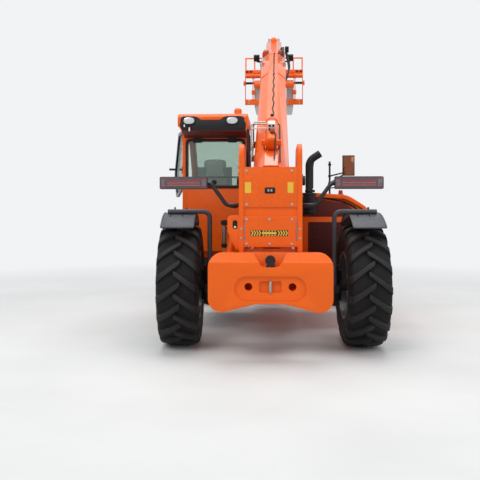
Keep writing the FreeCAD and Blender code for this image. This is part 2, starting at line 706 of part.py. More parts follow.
pad(leaf_glass, "YZ", wall / 2 + 12 + s.seat_gap + glass / 2, "glass_thick",
    [(42, 1585, 30), (42, 2148, 30), (415, 2148, 30), (717, 1741, 40), (730, 1658, 40),
     (594, 1466, 40), (500, 1462, 30)])
low_glass = body("low_glass")
pad(low_glass, "YZ", x_left + wall + s.seat_gap + glass / 2, "glass_thick",
    [(hinge_d + 40, 990, 30), (hinge_d + 40, 1492, 30), (door_edge - 40, 1388, 30),
     (door_edge - 40, 990, 30)])
node("door_glass", [leaf_glass, low_glass])

# Fuel and oil tank with steps under the cab.
tank = body("tank")
pad(tank, "XZ", 1455, 1150,
    [(-930, 440, 30), (-930, 600, 10), (-800, 600, 10), (-800, 770), (-outer - 6, 770),
     (-outer - 6, 440, 30)])
node("side_tank", [fuse("side_tank_group", [
    tank,
    box("tank_hanger", (-800, -outer), (1100, 1180), (765, 790)),
    box("tank_hanger", (-800, -outer), (1700, 1780), (765, 790)),
    box("tank_strap", (-outer - 10, -outer), (1100, 1180), (500, 790)),
    box("tank_strap", (-outer - 10, -outer), (1700, 1780), (500, 790)),
])])

# Engine pod on the right with its hood, rear grille and the engine.
hx0 = s.hood_inner_x
hx1 = s.hood_outer_x
hd0 = s.hood_rear_d
hd1 = s.hood_front_d
top = s.hood_top_z
seam = s.hood_bottom_z
skin_t = s.hood_sheet
pod = body("pod_shell")
pad(pod, "XZ", (hd0 + hd1) / 2, hd1 - hd0,
    [(hx0, s.pod_bottom_z), (hx0, top - 60), (hx0 + skin_t, top - 60), (hx0 + skin_t,
     s.pod_bottom_z + skin_t),
     (hx1 - 30 - skin_t, s.pod_bottom_z + skin_t, 90), (hx1 - 12 - skin_t, seam - 6), (hx1 - 12, seam - 6),
     (hx1 - 30, s.pod_bottom_z, 98)])
hood_axis_x = hx0 - 12
hood_axis_z = top - 6
HOOD_HINGES = [hd0 + 150, hd1 - 250]
pod_parts = [pod]
for d in HOOD_HINGES:
    pod_parts.append(rod("hood_pin", (hood_axis_x, d - 12, hood_axis_z), (hood_axis_x, d + 112, hood_axis_z),
                         5))
    for arm_d in (d - 12, d + 102):
        pod_parts.append(box("hood_arm", (hood_axis_x - 9, hood_axis_x + 7), (arm_d, arm_d + 10),
                             (top - 80, hood_axis_z + 7)))
        pod_parts.append(box("hood_arm_foot", (hood_axis_x - 9, hx0), (arm_d, arm_d + 10),
                             (top - 80, top - 60)))
node("pod_shell", [fuse("pod_hinged", pod_parts)])
END_VIEW = [
    (hx0 + skin_t, s.pod_bottom_z + skin_t), (hx0 + skin_t, top - 40), (430, top - 52, 30), (800, 1420, 200),
    (hx1 - 62, 1290, 120), (hx1 - 40, seam), (hx1 - 44, s.pod_bottom_z + skin_t, 90)]
grille = body("rear_grille")
pad(grille, "XZ", hd0 + 46, 12, END_VIEW)
front_panel = body("front_panel")
pad(front_panel, "XZ", hd1 - 30, 12, END_VIEW)
node("pod_end_panels", [grille, front_panel])
HOOD_OUTER = [(hx0, top), (430, top, 60), (800, top - 24, 260), (hx1 - 20, 1310, 150), (hx1, seam)]
hood = body("hood")
pad(hood, "XZ", (hd0 + hd1) / 2, hd1 - hd0,
    HOOD_OUTER + [(hx1 - skin_t, seam), (hx1 - 20 - skin_t, 1306, 142), (796, top - 32, 252),
                  (430, top - skin_t, 52),
                  (hx0, top - skin_t)])
for d in (hd0 + 4, hd1 - 4):
    pad(hood, "XZ", d, 8,
        HOOD_OUTER + [(hx1 - 45, seam), (hx1 - 62, 1296, 112), (785, top - 66, 220), (430, top - 45, 20),
                      (hx0, top - 45)])
hood_parts = [hood]
hood_bores = []
for d in HOOD_HINGES:
    hood_parts.append(rod("hood_barrel", (hood_axis_x, d, hood_axis_z), (hood_axis_x, d + 100, hood_axis_z),
        8))
    hood_parts.append(box("hood_leaf", (hood_axis_x, hx0 + 6), (d, d + 100), (top - skin_t, top)))
    hood_bores.append(rod("hood_bore", (hood_axis_x, d - 5, hood_axis_z), (hood_axis_x, d + 105, hood_axis_z),
                          5 + s.shaft_gap))
node("engine_hood", [cut("hood_bored", fuse("hood_hinged", hood_parts), fuse("hood_bores", hood_bores))])
engine_x = (hx0 + hx1) / 2
engine_d = (hd0 + hd1) / 2
node("engine_block", [
    box("engine", (engine_x - s.engine_width / 2, engine_x + s.engine_width / 2),
        (engine_d - s.engine_length / 2, engine_d + s.engine_length / 2),
        (s.pod_bottom_z + skin_t, s.pod_bottom_z + skin_t + s.engine_height))])
EXHAUST_PATH = [(386, 600, 1400), (386, 600, 1806), (500, 600, 1880)]
exhaust_wall = 4
exhaust_pipe = fuse("exhaust_group", [
    pipe("exhaust_pipe", EXHAUST_PATH, 110, 38),
    rod("exhaust_shroud", (390, 600, 1250), (390, 600, 1473), 66),
    rod("exhaust_entry", (390, 600, 1340), (390, hd0 + 40, 1340), 40),
])
node("exhaust", [cut("exhaust_hollow", exhaust_pipe, pipe(
    "exhaust_bore", [(386, 600, 1560)] + EXHAUST_PATH[1:2] + [(512, 600, 1887.8)], 110, 38 - exhaust_wall))])

# Rear lights on bent tubes, beacon and mirror.
lights = []
for side in (-1, 1):
    bar = body("light_bar")
    pad(bar, "XZ", -450, 46,
        [(side * 558, 1487, 12), (side * 558, 1598, 12), (side * 985, 1598, 12), (side * 985, 1487, 12)])
    lights.append(bar)
node("light_bars", lights)
tube_radius = 18
tube_d = -415 + tube_radius + s.seat_gap
node("light_brackets", [
    pipe("light_tube", [(side * outer, tube_d, 1345), (side * 395, tube_d, 1345), (side * 535, tube_d, 1540),
                        (side * 700, tube_d, 1540)], 60, tube_radius)
    for side in (-1, 1)] + [
    box("light_pad", (side * 640 - 40, side * 640 + 40), (-427, -415), (1500, 1580)) for side in (-1, 1)])
node("beacon", [rod("beacon_dome", (-358, 750, 2297), (-358, 750, 2375), 42)])
node("mirror", [fuse("mirror_group", [
    rod("mirror_post", (718, 2180, 1100), (718, 2180, 1900), 12),
    box("mirror_foot", (690, 746), (2126, 2195), (1080, 1110)),
    rod("mirror_arm", (718, 2180, 1716), (900, 2190, 1760), 9),
    rod("mirror_arm", (718, 2180, 1626), (900, 2190, 1740), 9),
    box("mirror_case", (880, 1030), (2175, 2215), (1720, 1976)),
])])

# Boom: outer section with pivot lugs, front collar, cylinder and valve on top.
w = s.boom_half_width
tv = s.boom_top_v
bv = s.boom_bottom_v
t = s.boom_wall


def boom_section(half_width, high, low, inset):
    """Section of a boom box with bevelled shoulders, moved inward by inset."""
    k = half_width - inset
    a = high - inset
    b = low + inset
    return [(-k, b + 64), (-k, a - 90), (-k + 15, a - 70), (-k * 0.36, a), (k * 0.36, a), (k - 15, a - 70),
            (k, a - 90), (k, b + 64), (k - 50, b), (-k + 50, b)]


outer_boom = body("outer_boom", BOOM)
pad(outer_boom, "XZ", (s.boom_rear_u + s.boom_front_u) / 2, s.boom_front_u - s.boom_rear_u,
    boom_section(w, tv, bv, 0), boom_section(w, tv, bv, t))
pad(outer_boom, "XZ", (s.collar_rear_u + s.boom_front_u) / 2, s.boom_front_u - s.collar_rear_u,
    boom_section(w, tv, bv, -s.collar_thick), boom_section(w, tv, bv, 1))
pocket(outer_boom, "XZ", (s.collar_rear_u + s.boom_front_u) / 2 - 100, s.boom_front_u - s.collar_rear_u,
       [(-62, tv), (-62, tv + 2 * s.collar_thick), (62, tv + 2 * s.collar_thick), (62, tv)])
pad(outer_boom, "XZ", s.boom_rear_u + 6, 12, boom_section(w, tv, bv, 2))
for side in (-1, 1):
    pad(outer_boom, "YZ", side * (w - 18), 24,
        [(-95, -95, 94), (-95, 95, 94), (90, 95, 40), (s.boom_rear_u + 20, 30), (s.boom_rear_u + 280, -30),
         (s.boom_rear_u + 280, -240), (s.boom_rear_u + 20, -250), (60, -95)])
    pad(outer_boom, "YZ", side * 72, 26,
        [(s.lift_eye_u - 190, bv + 5), (s.lift_eye_u + 240, bv + 5),
         (s.lift_eye_u + 62, s.lift_eye_v - 62, 60),
         (s.lift_eye_u - 62, s.lift_eye_v - 62, 60)])
hub_reach = s.cheek_inner_x - 3
pivot_tube = rod("pivot_tube", (-hub_reach, 0, 0), (hub_reach, 0, 0), 80, BOOM)
pivot_bore = rod("pivot_bore", (-400, 0, 0), (400, 0, 0), s.boom_pin_radius + s.shaft_gap, BOOM)
eye_u = s.lift_eye_u
eye_v = s.lift_eye_v
eye_bore = rod("eye_bore", (-200, eye_u, eye_v), (200, eye_u, eye_v), lift_pin_bore, BOOM)
node("boom_outer", [
    cut("boom_outer_bored", fuse("boom_outer_welded", [outer_boom, pivot_tube]),
        fuse("boom_bores", [pivot_bore, eye_bore]))] + [
    rod("lift_eye_pin", (side * (59 + s.seat_gap), eye_u, eye_v), (side * 100, eye_u, eye_v),
        "lift_pin_radius", BOOM)
    for side in (-1, 1)])
front = s.boom_front_u
k = w - t
node("boom_wear_pads", [
    box("pad_side", (x0, x1), (front - 260, front - 20), (-200, -20), BOOM)
    for x0, x1 in ((-k, -s.inner_half_width - 0.3), (s.inner_half_width + 0.3, k))] + [
    box("pad_low", (-70, 70), (front - 260, front - 20), (bv + t, s.inner_bottom_v - 0.3), BOOM),
    box("pad_high", (-40, 40), (front - 260, front - 20), (s.inner_top_v + 0.3, tv - t), BOOM),
])
node("boom_top_cylinder", [fuse("boom_top_cylinder_group", [
    rod("top_barrel", (0, 495, tv + 78), (0, 1150, tv + 78), 62, BOOM),
    box("top_saddle", (-55, 55), (530, 600), (tv, tv + 40), BOOM),
    box("top_saddle", (-55, 55), (1040, 1110), (tv, tv + 40), BOOM),
    box("top_ears", (-95, 95), (540, 570), (tv + 40, tv + 90), BOOM),
])])
valve_block = box("valve_block", (-44, 44), (1170, 1300), (tv, tv + 95), BOOM)
run_x = w + 30
pipe_runs = [
    pipe("valve_pipe", [(-44, u, tv + 44), (-run_x, u, tv + 44), (-run_x, u, v), (-run_x, 700, v)], 34, 8,
        BOOM)
    for u, v in ((1265, -40), (1205, -80))]
pipe_clips = [box("pipe_clip", (-run_x - 4, -w), (u, u + 24), (-94, -26), BOOM) for u in (720, 1120)]
node("boom_valve", [fuse("boom_valve_and_pipes", [valve_block] + pipe_runs + pipe_clips)])
cable_rise = 8
waves = [(10 + (8 if i % 2 else -8), 1500 + 200 * i, tv + cable_rise) for i in range(11)]
node("boom_cable", [
    pipe("cable_front", [(10, 1300, tv + 40), (10, 1370, tv + 40), (10, 1440, tv + cable_rise)] + waves, 60,
        7, BOOM),
    pipe("cable_rear", [(44, 1235, tv + 30), (84, 1235, tv + 30), (84, 480, tv + 30), (84, 340, tv + 8),
                        (84, 180, tv + 8)], 36, 7, BOOM),
])
light_x = w + s.collar_thick
node("work_lights", [
    box("work_light", (side * 260 - 45, side * 260 + 45), (front - 140, front - 70), (0, 95), BOOM)
    for side in (-1, 1)] + [
    box("work_light_arm", (min(side * 260, side * light_x), max(side * 260, side * light_x)),
        (front - 120, front - 90), (-20, 0), BOOM) for side in (-1, 1)])

# Inner boom section and its drooping head.
iw = s.inner_half_width
it = s.inner_top_v
ib = s.inner_bottom_v
inner_boom = body("inner_boom", BOOM)
pad(inner_boom, "XZ", (s.inner_rear_u + s.inner_front_u) / 2, s.inner_front_u - s.inner_rear_u,
    boom_section(iw, it, ib, 0), boom_section(iw, it, ib, s.inner_wall))
pocket(inner_boom, "YZ", 0, 600,
       [(5480, ib - 20), (5480, ib + 40), (5600, -110, 60), (6200, -60), (6200, ib - 20)])
pu = s.head_pivot_u
pv = s.head_pivot_v
tu = s.tilt_base_u
tilt_v = s.tilt_base_v
nose_u = s.inner_front_u
for side in (-1, 1):
    pad(inner_boom, "YZ", side * (iw - 22), 44,
        [(tu + 20, ib + 20), (tu + 20, -20), (nose_u, -20), (nose_u, -90, 20), (pu + 32, -110, 30),
         (pu - 33, -190, 30), (pu - 33, pv + 125, 60), (pu + 60, pv + 60, 20), (pu + 60, pv - 60, 59),
         (pu - 60, pv - 60, 40), (pu - 148, pv + 125, 80), (pu - 298, ib + 20, 60)])
head_bore = rod("head_bore", (-300, pu, pv), (300, pu, pv), s.head_pin_radius + s.shaft_gap, BOOM)
tilt_bore = rod("tilt_bore", (-300, tu, tilt_v), (300, tu, tilt_v), 20 + s.shaft_gap, BOOM)
tilt_pin = rod("tilt_pin", (-iw + 1, tu, tilt_v), (iw - 1, tu, tilt_v), 20, BOOM)
node("boom_inner", [cut("boom_inner_bored", inner_boom, fuse("head_bores", [head_bore, tilt_bore])),
    tilt_pin])

# Fork carriage hung on the head pivot.
pivot = on_boom(0, pu, pv)
CARRIAGE = Placement(pivot, Rotation())
cw = s.carriage_half_width
carriage_parts = [
    box("top_beam", (-cw, cw), (75, 130), (210, 275), CARRIAGE),
    rod("beam_tube", (-cw, 100, 172), (cw, 100, 172), 40, CARRIAGE),
    box("low_plate", (-cw, cw), (95, 125), (-337, -240), CARRIAGE),
]
for side in (-1, 1):
    cheek = body("carriage_side", CARRIAGE)
    pad(cheek, "YZ", side * (cw - 6), 12,
        [(75, 275), (130, 275), (160, 90, 30), (160, 10, 30), (125, -337), (75, -337)])
    web = body("carriage_web", CARRIAGE)
    pad(web, "YZ", side * 162, 24,
        [(-62, -62, 60), (-62, 62, 60), (75, 275), (130, 275), (130, -337), (95, -337), (40, -80)])
    carriage_parts += [cheek, web]
    carriage_parts.append(rod("pivot_sleeve", (side * 142, 0, 0), (side * 340, 0, 0), 60, CARRIAGE))
    for x in (side * (cw - 12), side * 340):
        carriage_parts.append(box("guard_upright", (x - 11, x + 11), (125, 155), (215, 500), CARRIAGE))
    lug = body("tilt_lug", CARRIAGE)
    pad(lug, "YZ", side * 45, 16,
        [(s.tilt_eye_d - 32, s.tilt_eye_z - 32, 30), (s.tilt_eye_d - 32, s.tilt_eye_z + 32, 30),
         (80, 270), (100, 270), (100, s.tilt_eye_z - 10)])
    carriage_parts.append(lug)
carriage_parts.append(box("guard_rail", (-cw, cw), (125, 155), (480, 500), CARRIAGE))
sleeve_bore = rod("sleeve_bore", (-600, 0, 0), (600, 0, 0), s.head_pin_radius + s.shaft_gap, CARRIAGE)
shaft_bore = rod("shaft_bore", (-600, 130, 50), (600, 130, 50), 22 + s.seat_gap, CARRIAGE)
eye_d = s.tilt_eye_d
eye_z = s.tilt_eye_z
tilt_eye_bore = rod("tilt_eye_bore", (-100, eye_d, eye_z), (100, eye_d, eye_z), 18 + s.shaft_gap, CARRIAGE)
node("carriage", [cut("carriage_bored", fuse("carriage_welded", carriage_parts),
                      fuse("carriage_bores", [sleeve_bore, shaft_bore, tilt_eye_bore]))])
node("carriage_pins", [
    rod("head_pin", (-345, 0, 0), (345, 0, 0), "head_pin_radius", CARRIAGE),
    rod("fork_shaft", (-535, 130, 50), (535, 130, 50), 22, CARRIAGE),
] + [
    rod("tilt_eye_pin", (side * (37 + s.seat_gap), eye_d, eye_z), (side * 60, eye_d, eye_z), 18, CARRIAGE)
    for side in (-1, 1)])
forks = []
fork_tip = 170 + s.fork_length
for side in (-1, 1):
    centre = side * s.fork_centre_x
    fork = body("fork", CARRIAGE)
    pad(fork, "YZ", centre, "fork_width",
        [(96, 98, 30), (178, 98, 40), (178, 0, 60), (170, -60), (170, -340), (fork_tip, -340),
         (fork_tip, -356),
         (170 + 0.6 * s.fork_length, -380), (126, -380, 12), (126, -240), (126, 8), (96, 8, 10)])
    pocket(fork, "YZ", centre, 2 * s.fork_width, ("circle", 130, 50, 22 + s.seat_gap))
    forks.append(fork)
node("forks", forks)

# Lift cylinder under the boom and tilt cylinder inside its head.
base = at(0, s.lift_base_d, s.lift_base_z)
eye = on_boom(0, s.lift_eye_u, s.lift_eye_v)
along = Rotation(Vector(0, 1, 0), eye - base)
LIFT = Placement(base, along)
length = (eye - base).Length
barrel = fuse("lift_barrel_group", [
    rod("lift_tube", (0, 0, 0), (0, s.lift_barrel_length, 0), "lift_barrel_radius", LIFT),
    rod("lift_base_eye", (-70, 0, 0), (70, 0, 0), 62, LIFT),
])
barrel_core = fuse("lift_barrel_core", [
    rod("lift_tube_bore", (0, 120, 0), (0, s.lift_barrel_length - 50, 0), s.lift_rod_radius + 22, LIFT),
    rod("lift_gland_bore", (0, 100, 0), (0, s.lift_barrel_length + 10, 0), s.lift_rod_radius + s.shaft_gap,
        LIFT),
    rod("lift_base_bore", (-90, 0, 0), (90, 0, 0), lift_pin_bore, LIFT),
])
node("lift_barrel", [cut("lift_barrel_hollow", barrel, barrel_core)])
lift_rod = fuse("lift_rod_group", [
    rod("lift_rod_bar", (0, length - s.lift_rod_length, 0), (0, length - 40, 0), "lift_rod_radius", LIFT),
    rod("lift_piston", (0, length - s.lift_rod_length, 0), (0, length - s.lift_rod_length + 60, 0),
        s.lift_rod_radius + 21.9, LIFT),
    rod("lift_rod_eye", (-56, length, 0), (56, length, 0), 50, LIFT),
])
node("lift_rod", [
    cut("lift_rod_bored", lift_rod, rod("lift_eye_bore", (-90, length, 0), (90, length, 0), lift_pin_bore,
        LIFT)),
    rod("lift_eye_centre_pin", (-59 + s.seat_gap, length, 0), (59 - s.seat_gap, length, 0),
        "lift_pin_radius", LIFT),
])
base = on_boom(0, s.tilt_base_u, s.tilt_base_v)
eye = pivot + Vector(0, s.tilt_eye_d, s.tilt_eye_z)
TILT = Placement(base, Rotation(Vector(0, 1, 0), eye - base))
length = (eye - base).Length
barrel = fuse("tilt_barrel_group", [
    rod("tilt_tube", (0, 0, 0), (0, s.tilt_barrel_length, 0), "tilt_barrel_radius", TILT),
    rod("tilt_base_eye", (-36, 0, 0), (36, 0, 0), 44, TILT),
])
barrel_core = fuse("tilt_barrel_core", [
    rod("tilt_tube_bore", (0, 60, 0), (0, s.tilt_barrel_length - 30, 0), s.tilt_rod_radius + 10, TILT),
    rod("tilt_gland_bore", (0, 60, 0), (0, s.tilt_barrel_length + 10, 0), s.tilt_rod_radius + s.shaft_gap,
        TILT),
    rod("tilt_base_bore", (-90, 0, 0), (90, 0, 0), 20 + s.shaft_gap, TILT),
])
node("tilt_barrel", [cut("tilt_barrel_hollow", barrel, barrel_core)])
tilt_rod = fuse("tilt_rod_group", [
    rod("tilt_rod_bar", (0, length - s.tilt_rod_length, 0), (0, length - 20, 0), "tilt_rod_radius", TILT),
    rod("tilt_piston", (0, length - s.tilt_rod_length, 0), (0, length - s.tilt_rod_length + 35, 0),
        s.tilt_rod_radius + 9.9, TILT),
    rod("tilt_rod_eye", (-34, length, 0), (34, length, 0), 32, TILT),
])
node("tilt_rod", [
    cut("tilt_rod_bored", tilt_rod, rod("tilt_eye_hole", (-90, length, 0), (90, length, 0),
        18 + s.shaft_gap, TILT)),
    rod("tilt_eye_centre_pin", (-37 + s.seat_gap, length, 0), (37 - s.seat_gap, length, 0), 18, TILT),
])

doc.recompute()
for thing in doc.Objects:
    if "Invalid" in thing.State or "Error" in thing.State:
        raise RuntimeError("object in error: " + thing.Name + " " + thing.Label)
for name, thing in NODES:
    shape = thing.Shape
    if shape.isNull() or not shape.isValid() or not shape.Solids:
        raise RuntimeError("no valid solid: " + name)
    shape.exportStep("parts/" + name + ".step")
    bounds = shape.BoundBox
    print(name, len(shape.Solids), [round(v) for v in (
        bounds.XMin, bounds.XMax, bounds.YMin, bounds.YMax, bounds.ZMin, bounds.ZMax)])
print(len(NODES), "nodes")
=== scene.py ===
import json
import logging
import math
from dataclasses import dataclass
from enum import Enum
from typing import Sequence

import bmesh
import bpy
from mathutils import Matrix, Vector


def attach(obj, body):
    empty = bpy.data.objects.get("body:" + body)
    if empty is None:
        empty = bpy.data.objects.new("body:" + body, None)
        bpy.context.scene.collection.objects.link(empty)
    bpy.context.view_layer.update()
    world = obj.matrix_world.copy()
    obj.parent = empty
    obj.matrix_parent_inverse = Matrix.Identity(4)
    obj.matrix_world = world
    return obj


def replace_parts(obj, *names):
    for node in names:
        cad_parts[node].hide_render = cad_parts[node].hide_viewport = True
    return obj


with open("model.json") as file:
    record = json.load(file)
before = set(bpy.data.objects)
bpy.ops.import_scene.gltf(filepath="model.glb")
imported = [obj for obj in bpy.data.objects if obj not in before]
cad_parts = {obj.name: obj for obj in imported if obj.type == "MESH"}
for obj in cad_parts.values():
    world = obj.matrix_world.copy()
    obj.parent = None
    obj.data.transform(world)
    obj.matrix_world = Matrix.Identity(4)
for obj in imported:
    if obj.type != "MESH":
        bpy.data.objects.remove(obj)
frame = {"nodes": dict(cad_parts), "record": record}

logging.basicConfig(level=logging.INFO, format="%(message)s")
LOG = logging.getLogger("telehandler")
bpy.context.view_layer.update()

Point = tuple[float, float, float]


class Pattern(Enum):
    """How the fine relief of a surface was made."""

    PEEL = "sprayed"
    CAST = "cast"
    GRAIN = "moulded grain"
    BRUSHED = "drawn or turned"
    WEAVE = "woven"


@dataclass(frozen=True)
class Finish:
    """Look of one real material, with sizes in metres."""

    name: str
    base: str
    second: str
    roughness: float = 0.45
    spread: float = 0.12
    metallic: float = 0.0
    coat: float = 0.0
    sheen: float = 0.25
    pattern: Pattern = Pattern.PEEL
    grain: float = 0.004
    relief: float = 0.0002
    mottle: float = 0.35
    mottle_size: float = 0.35
    dust: str = "#8C8478"
    dust_amount: float = 0.25
    wear: str = "#5A4A40"
    wear_amount: float = 0.0


def linear(hex_colour: str) -> tuple[float, float, float, float]:
    """Convert an sRGB hex colour to linear values.

    Args:
        hex_colour: Colour written as #RRGGBB.

    Returns:
        Red, green, blue and alpha in linear light.
    """
    channels = [int(hex_colour[i:i + 2], 16) / 255 for i in (1, 3, 5)]
    values = [c / 12.92 if c <= 0.04045 else ((c + 0.055) / 1.055) ** 2.4 for c in channels]
    return (values[0], values[1], values[2], 1.0)


class Graph:
    """Short way to write a material's node tree."""

    def __init__(self, name: str) -> None:
        self.material = bpy.data.materials.new(name)
        self.material.use_nodes = True
        self.tree = self.material.node_tree
        self.tree.nodes.clear()

    def node(self, kind: str, inputs: dict | None = None, **settings) -> bpy.types.Node:
        """Add a node, set its options, then its inputs by value or by link.

        Args:
            kind: Node type.
            inputs: Values or sockets by input name or number.
            settings: Node options.

        Returns:
            The new node.
        """
        made = self.tree.nodes.new(kind)
        for key, value in settings.items():
            setattr(made, key, value)
        for key, value in (inputs or {}).items():
            if isinstance(value, bpy.types.NodeSocket):
                self.tree.links.new(value, made.inputs[key])
            else:
                made.inputs[key].default_value = value
        return made

    def mix(self, factor, first, second) -> bpy.types.NodeSocket:
        """Mix two colours by a factor."""
        made = self.node("ShaderNodeMix", {0: factor, 6: first, 7: second}, data_type="RGBA")
        return made.outputs[2]

    def ramp(self, value, low: float, high: float, to_low: float = 0.0, to_high: float = 1.0):
        """Map a value range onto another, clamped."""
        made = self.node("ShaderNodeMapRange", {0: value, 1: low, 2: high, 3: to_low, 4: to_high})
        return made.outputs[0]

    def noise(self, vector, size: float, detail: float = 3.0, rough: float = 0.55):
        """Noise with features of a given size in metres."""
        made = self.node("ShaderNodeTexNoise", {
            "Vector": vector, "Scale": 1.0 / size, "Detail": detail, "Roughness": rough})
        return made.outputs[0]


class Paintbox:
    """Makes each material once, from its finish."""

    def __init__(self) -> None:
        self.made: dict[str, bpy.types.Material] = {}

    def get(self, finish: Finish) -> bpy.types.Material:
        """Return the material of a finish, building it the first time."""
        if finish.name not in self.made:
            self.made[finish.name] = self.build(finish)
        return self.made[finish.name]

    def relief(self, graph: Graph, coords, finish: Finish):
        """Height pattern of a finish, from 0 to 1."""
        if finish.pattern is Pattern.BRUSHED:
            stretched = graph.node("ShaderNodeMapping", {"Vector": coords, "Scale": (1.0, 14.0, 14.0)})
            return graph.noise(stretched.outputs[0], finish.grain, 2.0)
        if finish.pattern is Pattern.WEAVE:
            waves = []
            for direction in ("X", "Z"):
                wave = graph.node("ShaderNodeTexWave",
                                  {"Vector": coords, "Scale": 0.314 / finish.grain, "Distortion": 0.4},
                                  bands_direction=direction)
                waves.append(wave.outputs[1])
            return graph.node("ShaderNodeMath", {0: waves[0], 1: waves[1]}, operation="MULTIPLY").outputs[0]
        if finish.pattern is Pattern.GRAIN:
            cells = graph.node("ShaderNodeTexVoronoi", {"Vector": coords, "Scale": 1.0 / finish.grain})
            return cells.outputs[0]
        if finish.pattern is Pattern.CAST:
            fine = graph.noise(coords, finish.grain, 4.0, 0.65)
            broad = graph.noise(coords, finish.grain * 9, 2.0)
            return graph.node("ShaderNodeMath", {0: fine, 1: broad}, operation="ADD").outputs[0]
        return graph.noise(coords, finish.grain, 2.0)

    def build(self, finish: Finish) -> bpy.types.Material:
        """Build the node tree of an opaque finish."""
        graph = Graph(finish.name)
        coords = graph.node("ShaderNodeTexCoord").outputs["Object"]
        cloud = graph.noise(coords, finish.mottle_size, 4.0)
        speck = graph.noise(coords, finish.mottle_size / 14, 3.0, 0.7)
        blend = graph.ramp(cloud, 0.35, 0.7, 0.0, finish.mottle)
        colour = graph.mix(blend, linear(finish.base), linear(finish.second))
        geometry = graph.node("ShaderNodeNewGeometry")
        up = graph.node("ShaderNodeSeparateXYZ", {0: geometry.outputs["Normal"]}).outputs[2]
        facing = graph.ramp(up, 0.1, 0.95, 0.12, 1.0)
        dust_spots = graph.ramp(speck, 0.42, 0.72, 0.0, finish.dust_amount)
        dusty = graph.node("ShaderNodeMath", {0: facing, 1: dust_spots}, operation="MULTIPLY").outputs[0]
        colour = graph.mix(dusty, colour, linear(finish.dust))
        if finish.wear_amount:
            edge = graph.ramp(geometry.outputs["Pointiness"], 0.52, 0.6)
            broken = graph.ramp(speck, 0.45, 0.6, 0.0, finish.wear_amount)
            worn = graph.node("ShaderNodeMath", {0: edge, 1: broken}, operation="MULTIPLY").outputs[0]
            colour = graph.mix(worn, colour, linear(finish.wear))
        rough_low = max(0.03, finish.roughness - finish.spread)
        rough = graph.ramp(speck, 0.3, 0.75, rough_low, min(1.0, finish.roughness + finish.spread))
        bump = graph.node("ShaderNodeBump", {
            "Height": self.relief(graph, coords, finish), "Distance": finish.relief, "Strength": 1.0})
        shader = graph.node("ShaderNodeBsdfPrincipled", {
            "Base Color": colour, "Roughness": rough, "Metallic": finish.metallic,
            "Specular IOR Level": finish.sheen, "Coat Weight": finish.coat, "Coat Roughness": 0.12,
            "Normal": bump.outputs[0]})
        graph.node("ShaderNodeOutputMaterial", {0: shader.outputs[0]})
        return graph.material

    def glass(self, name: str, tint: str, alpha: float) -> bpy.types.Material:
        """Thin safety glass: a clear, tinted, glossy sheet with a faint haze."""
        if name in self.made:
            return self.made[name]
        graph = Graph(name)
        coords = graph.node("ShaderNodeTexCoord").outputs["Object"]
        film = graph.ramp(graph.noise(coords, 0.12, 4.0, 0.65), 0.4, 0.8, 0.02, 0.09)
        clear = graph.node("ShaderNodeBsdfTransparent", {0: linear(tint)})
        gloss = graph.node("ShaderNodeBsdfGlossy", {0: (1, 1, 1, 1), "Roughness": film})
        haze = graph.node("ShaderNodeBsdfDiffuse", {0: linear("#A9BDB4")})
        fresnel = graph.node("ShaderNodeFresnel", {"IOR": 1.5})
        body = graph.node("ShaderNodeMixShader", {0: alpha, 1: clear.outputs[0], 2: haze.outputs[0]})
        shiny = graph.node("ShaderNodeMixShader",
                           {0: fresnel.outputs[0], 1: body.outputs[0], 2: gloss.outputs[0]})
        graph.node("ShaderNodeOutputMaterial", {0: shiny.outputs[0]})
        self.made[name] = graph.material
        return graph.material


ORANGE = Finish("orange_enamel_sprayed_steel", "#E85E08", "#DC5606", 0.40, 0.08, coat=0.08, grain=0.006,
                relief=0.00012, mottle=0.5, dust="#A8703C", dust_amount=0.08, wear="#7A3A18",
                wear_amount=0.15)
GLOSS = Finish("orange_enamel_polished_boom_steel", "#E85E08", "#DC5606", 0.36, 0.08, coat=0.6, sheen=0.5,
               grain=0.006, relief=0.0001, mottle=0.5, dust="#C09A78", dust_amount=0.1, wear="#7A3A18",
               wear_amount=0.15)
CASTING = Finish("orange_enamel_cast_iron", "#EA6006", "#E05804", 0.45, 0.1, coat=0.05, pattern=Pattern.CAST,
                 grain=0.008, relief=0.0006, mottle=0.5, dust="#B08A68", dust_amount=0.2)
# Orange darkened to stand for faces turned away from the light: painted shade.
SHADED = Finish("burnt_orange_enamel_machined_steel", "#C24A12", "#B0420F", 0.45, 0.1, grain=0.005,
                relief=0.0001)
DEEP_RED = Finish("deep_red_enamel_turned_steel", "#8E2A1C", "#7E2418", 0.4, 0.1, coat=0.2, grain=0.004,
                  relief=0.0001)
# Orange perforated sheet coloured dark red: painted shade of the recessed grille.
GRILLE_PAINTED_SHADE = Finish("maroon_enamel_perforated_sheet", "#5A120A", "#4A0E08", 0.5, 0.1, grain=0.005, relief=0.0001,
                dust="#7A5A50", dust_amount=0.2)
HOLLOW = Finish("dark_shade_behind_punched_holes", "#150605", "#1B0908", 0.8, 0.05, relief=0.0)
YELLOW = Finish("yellow_retroreflective_film_cut", "#DDB23A", "#D2A530", 0.35, 0.08, coat=0.3, grain=0.003,
                relief=0.00003, dust_amount=0.12)
STRIPE_BLACK = Finish("black_vinyl_film_cut", "#1C1712", "#241D16", 0.4, 0.08, grain=0.003, relief=0.00003,
                      dust_amount=0.1)
BLACK = Finish("black_enamel_sprayed_steel", "#191A1C", "#222326", 0.38, 0.1, coat=0.2, grain=0.005,
               relief=0.0001, dust="#6A655E", dust_amount=0.25)
SOOT = Finish("brown_black_heat_paint_brushed", "#131214", "#1C1A1B", 0.6, 0.12, grain=0.004, relief=0.0002,
              mottle=0.8, mottle_size=0.2, dust="#4E4844", dust_amount=0.2)
PLASTIC = Finish("black_polypropylene_moulded", "#17181A", "#202124", 0.55, 0.1, pattern=Pattern.GRAIN,
                 grain=0.0025, relief=0.0002, dust="#6A655E", dust_amount=0.3)
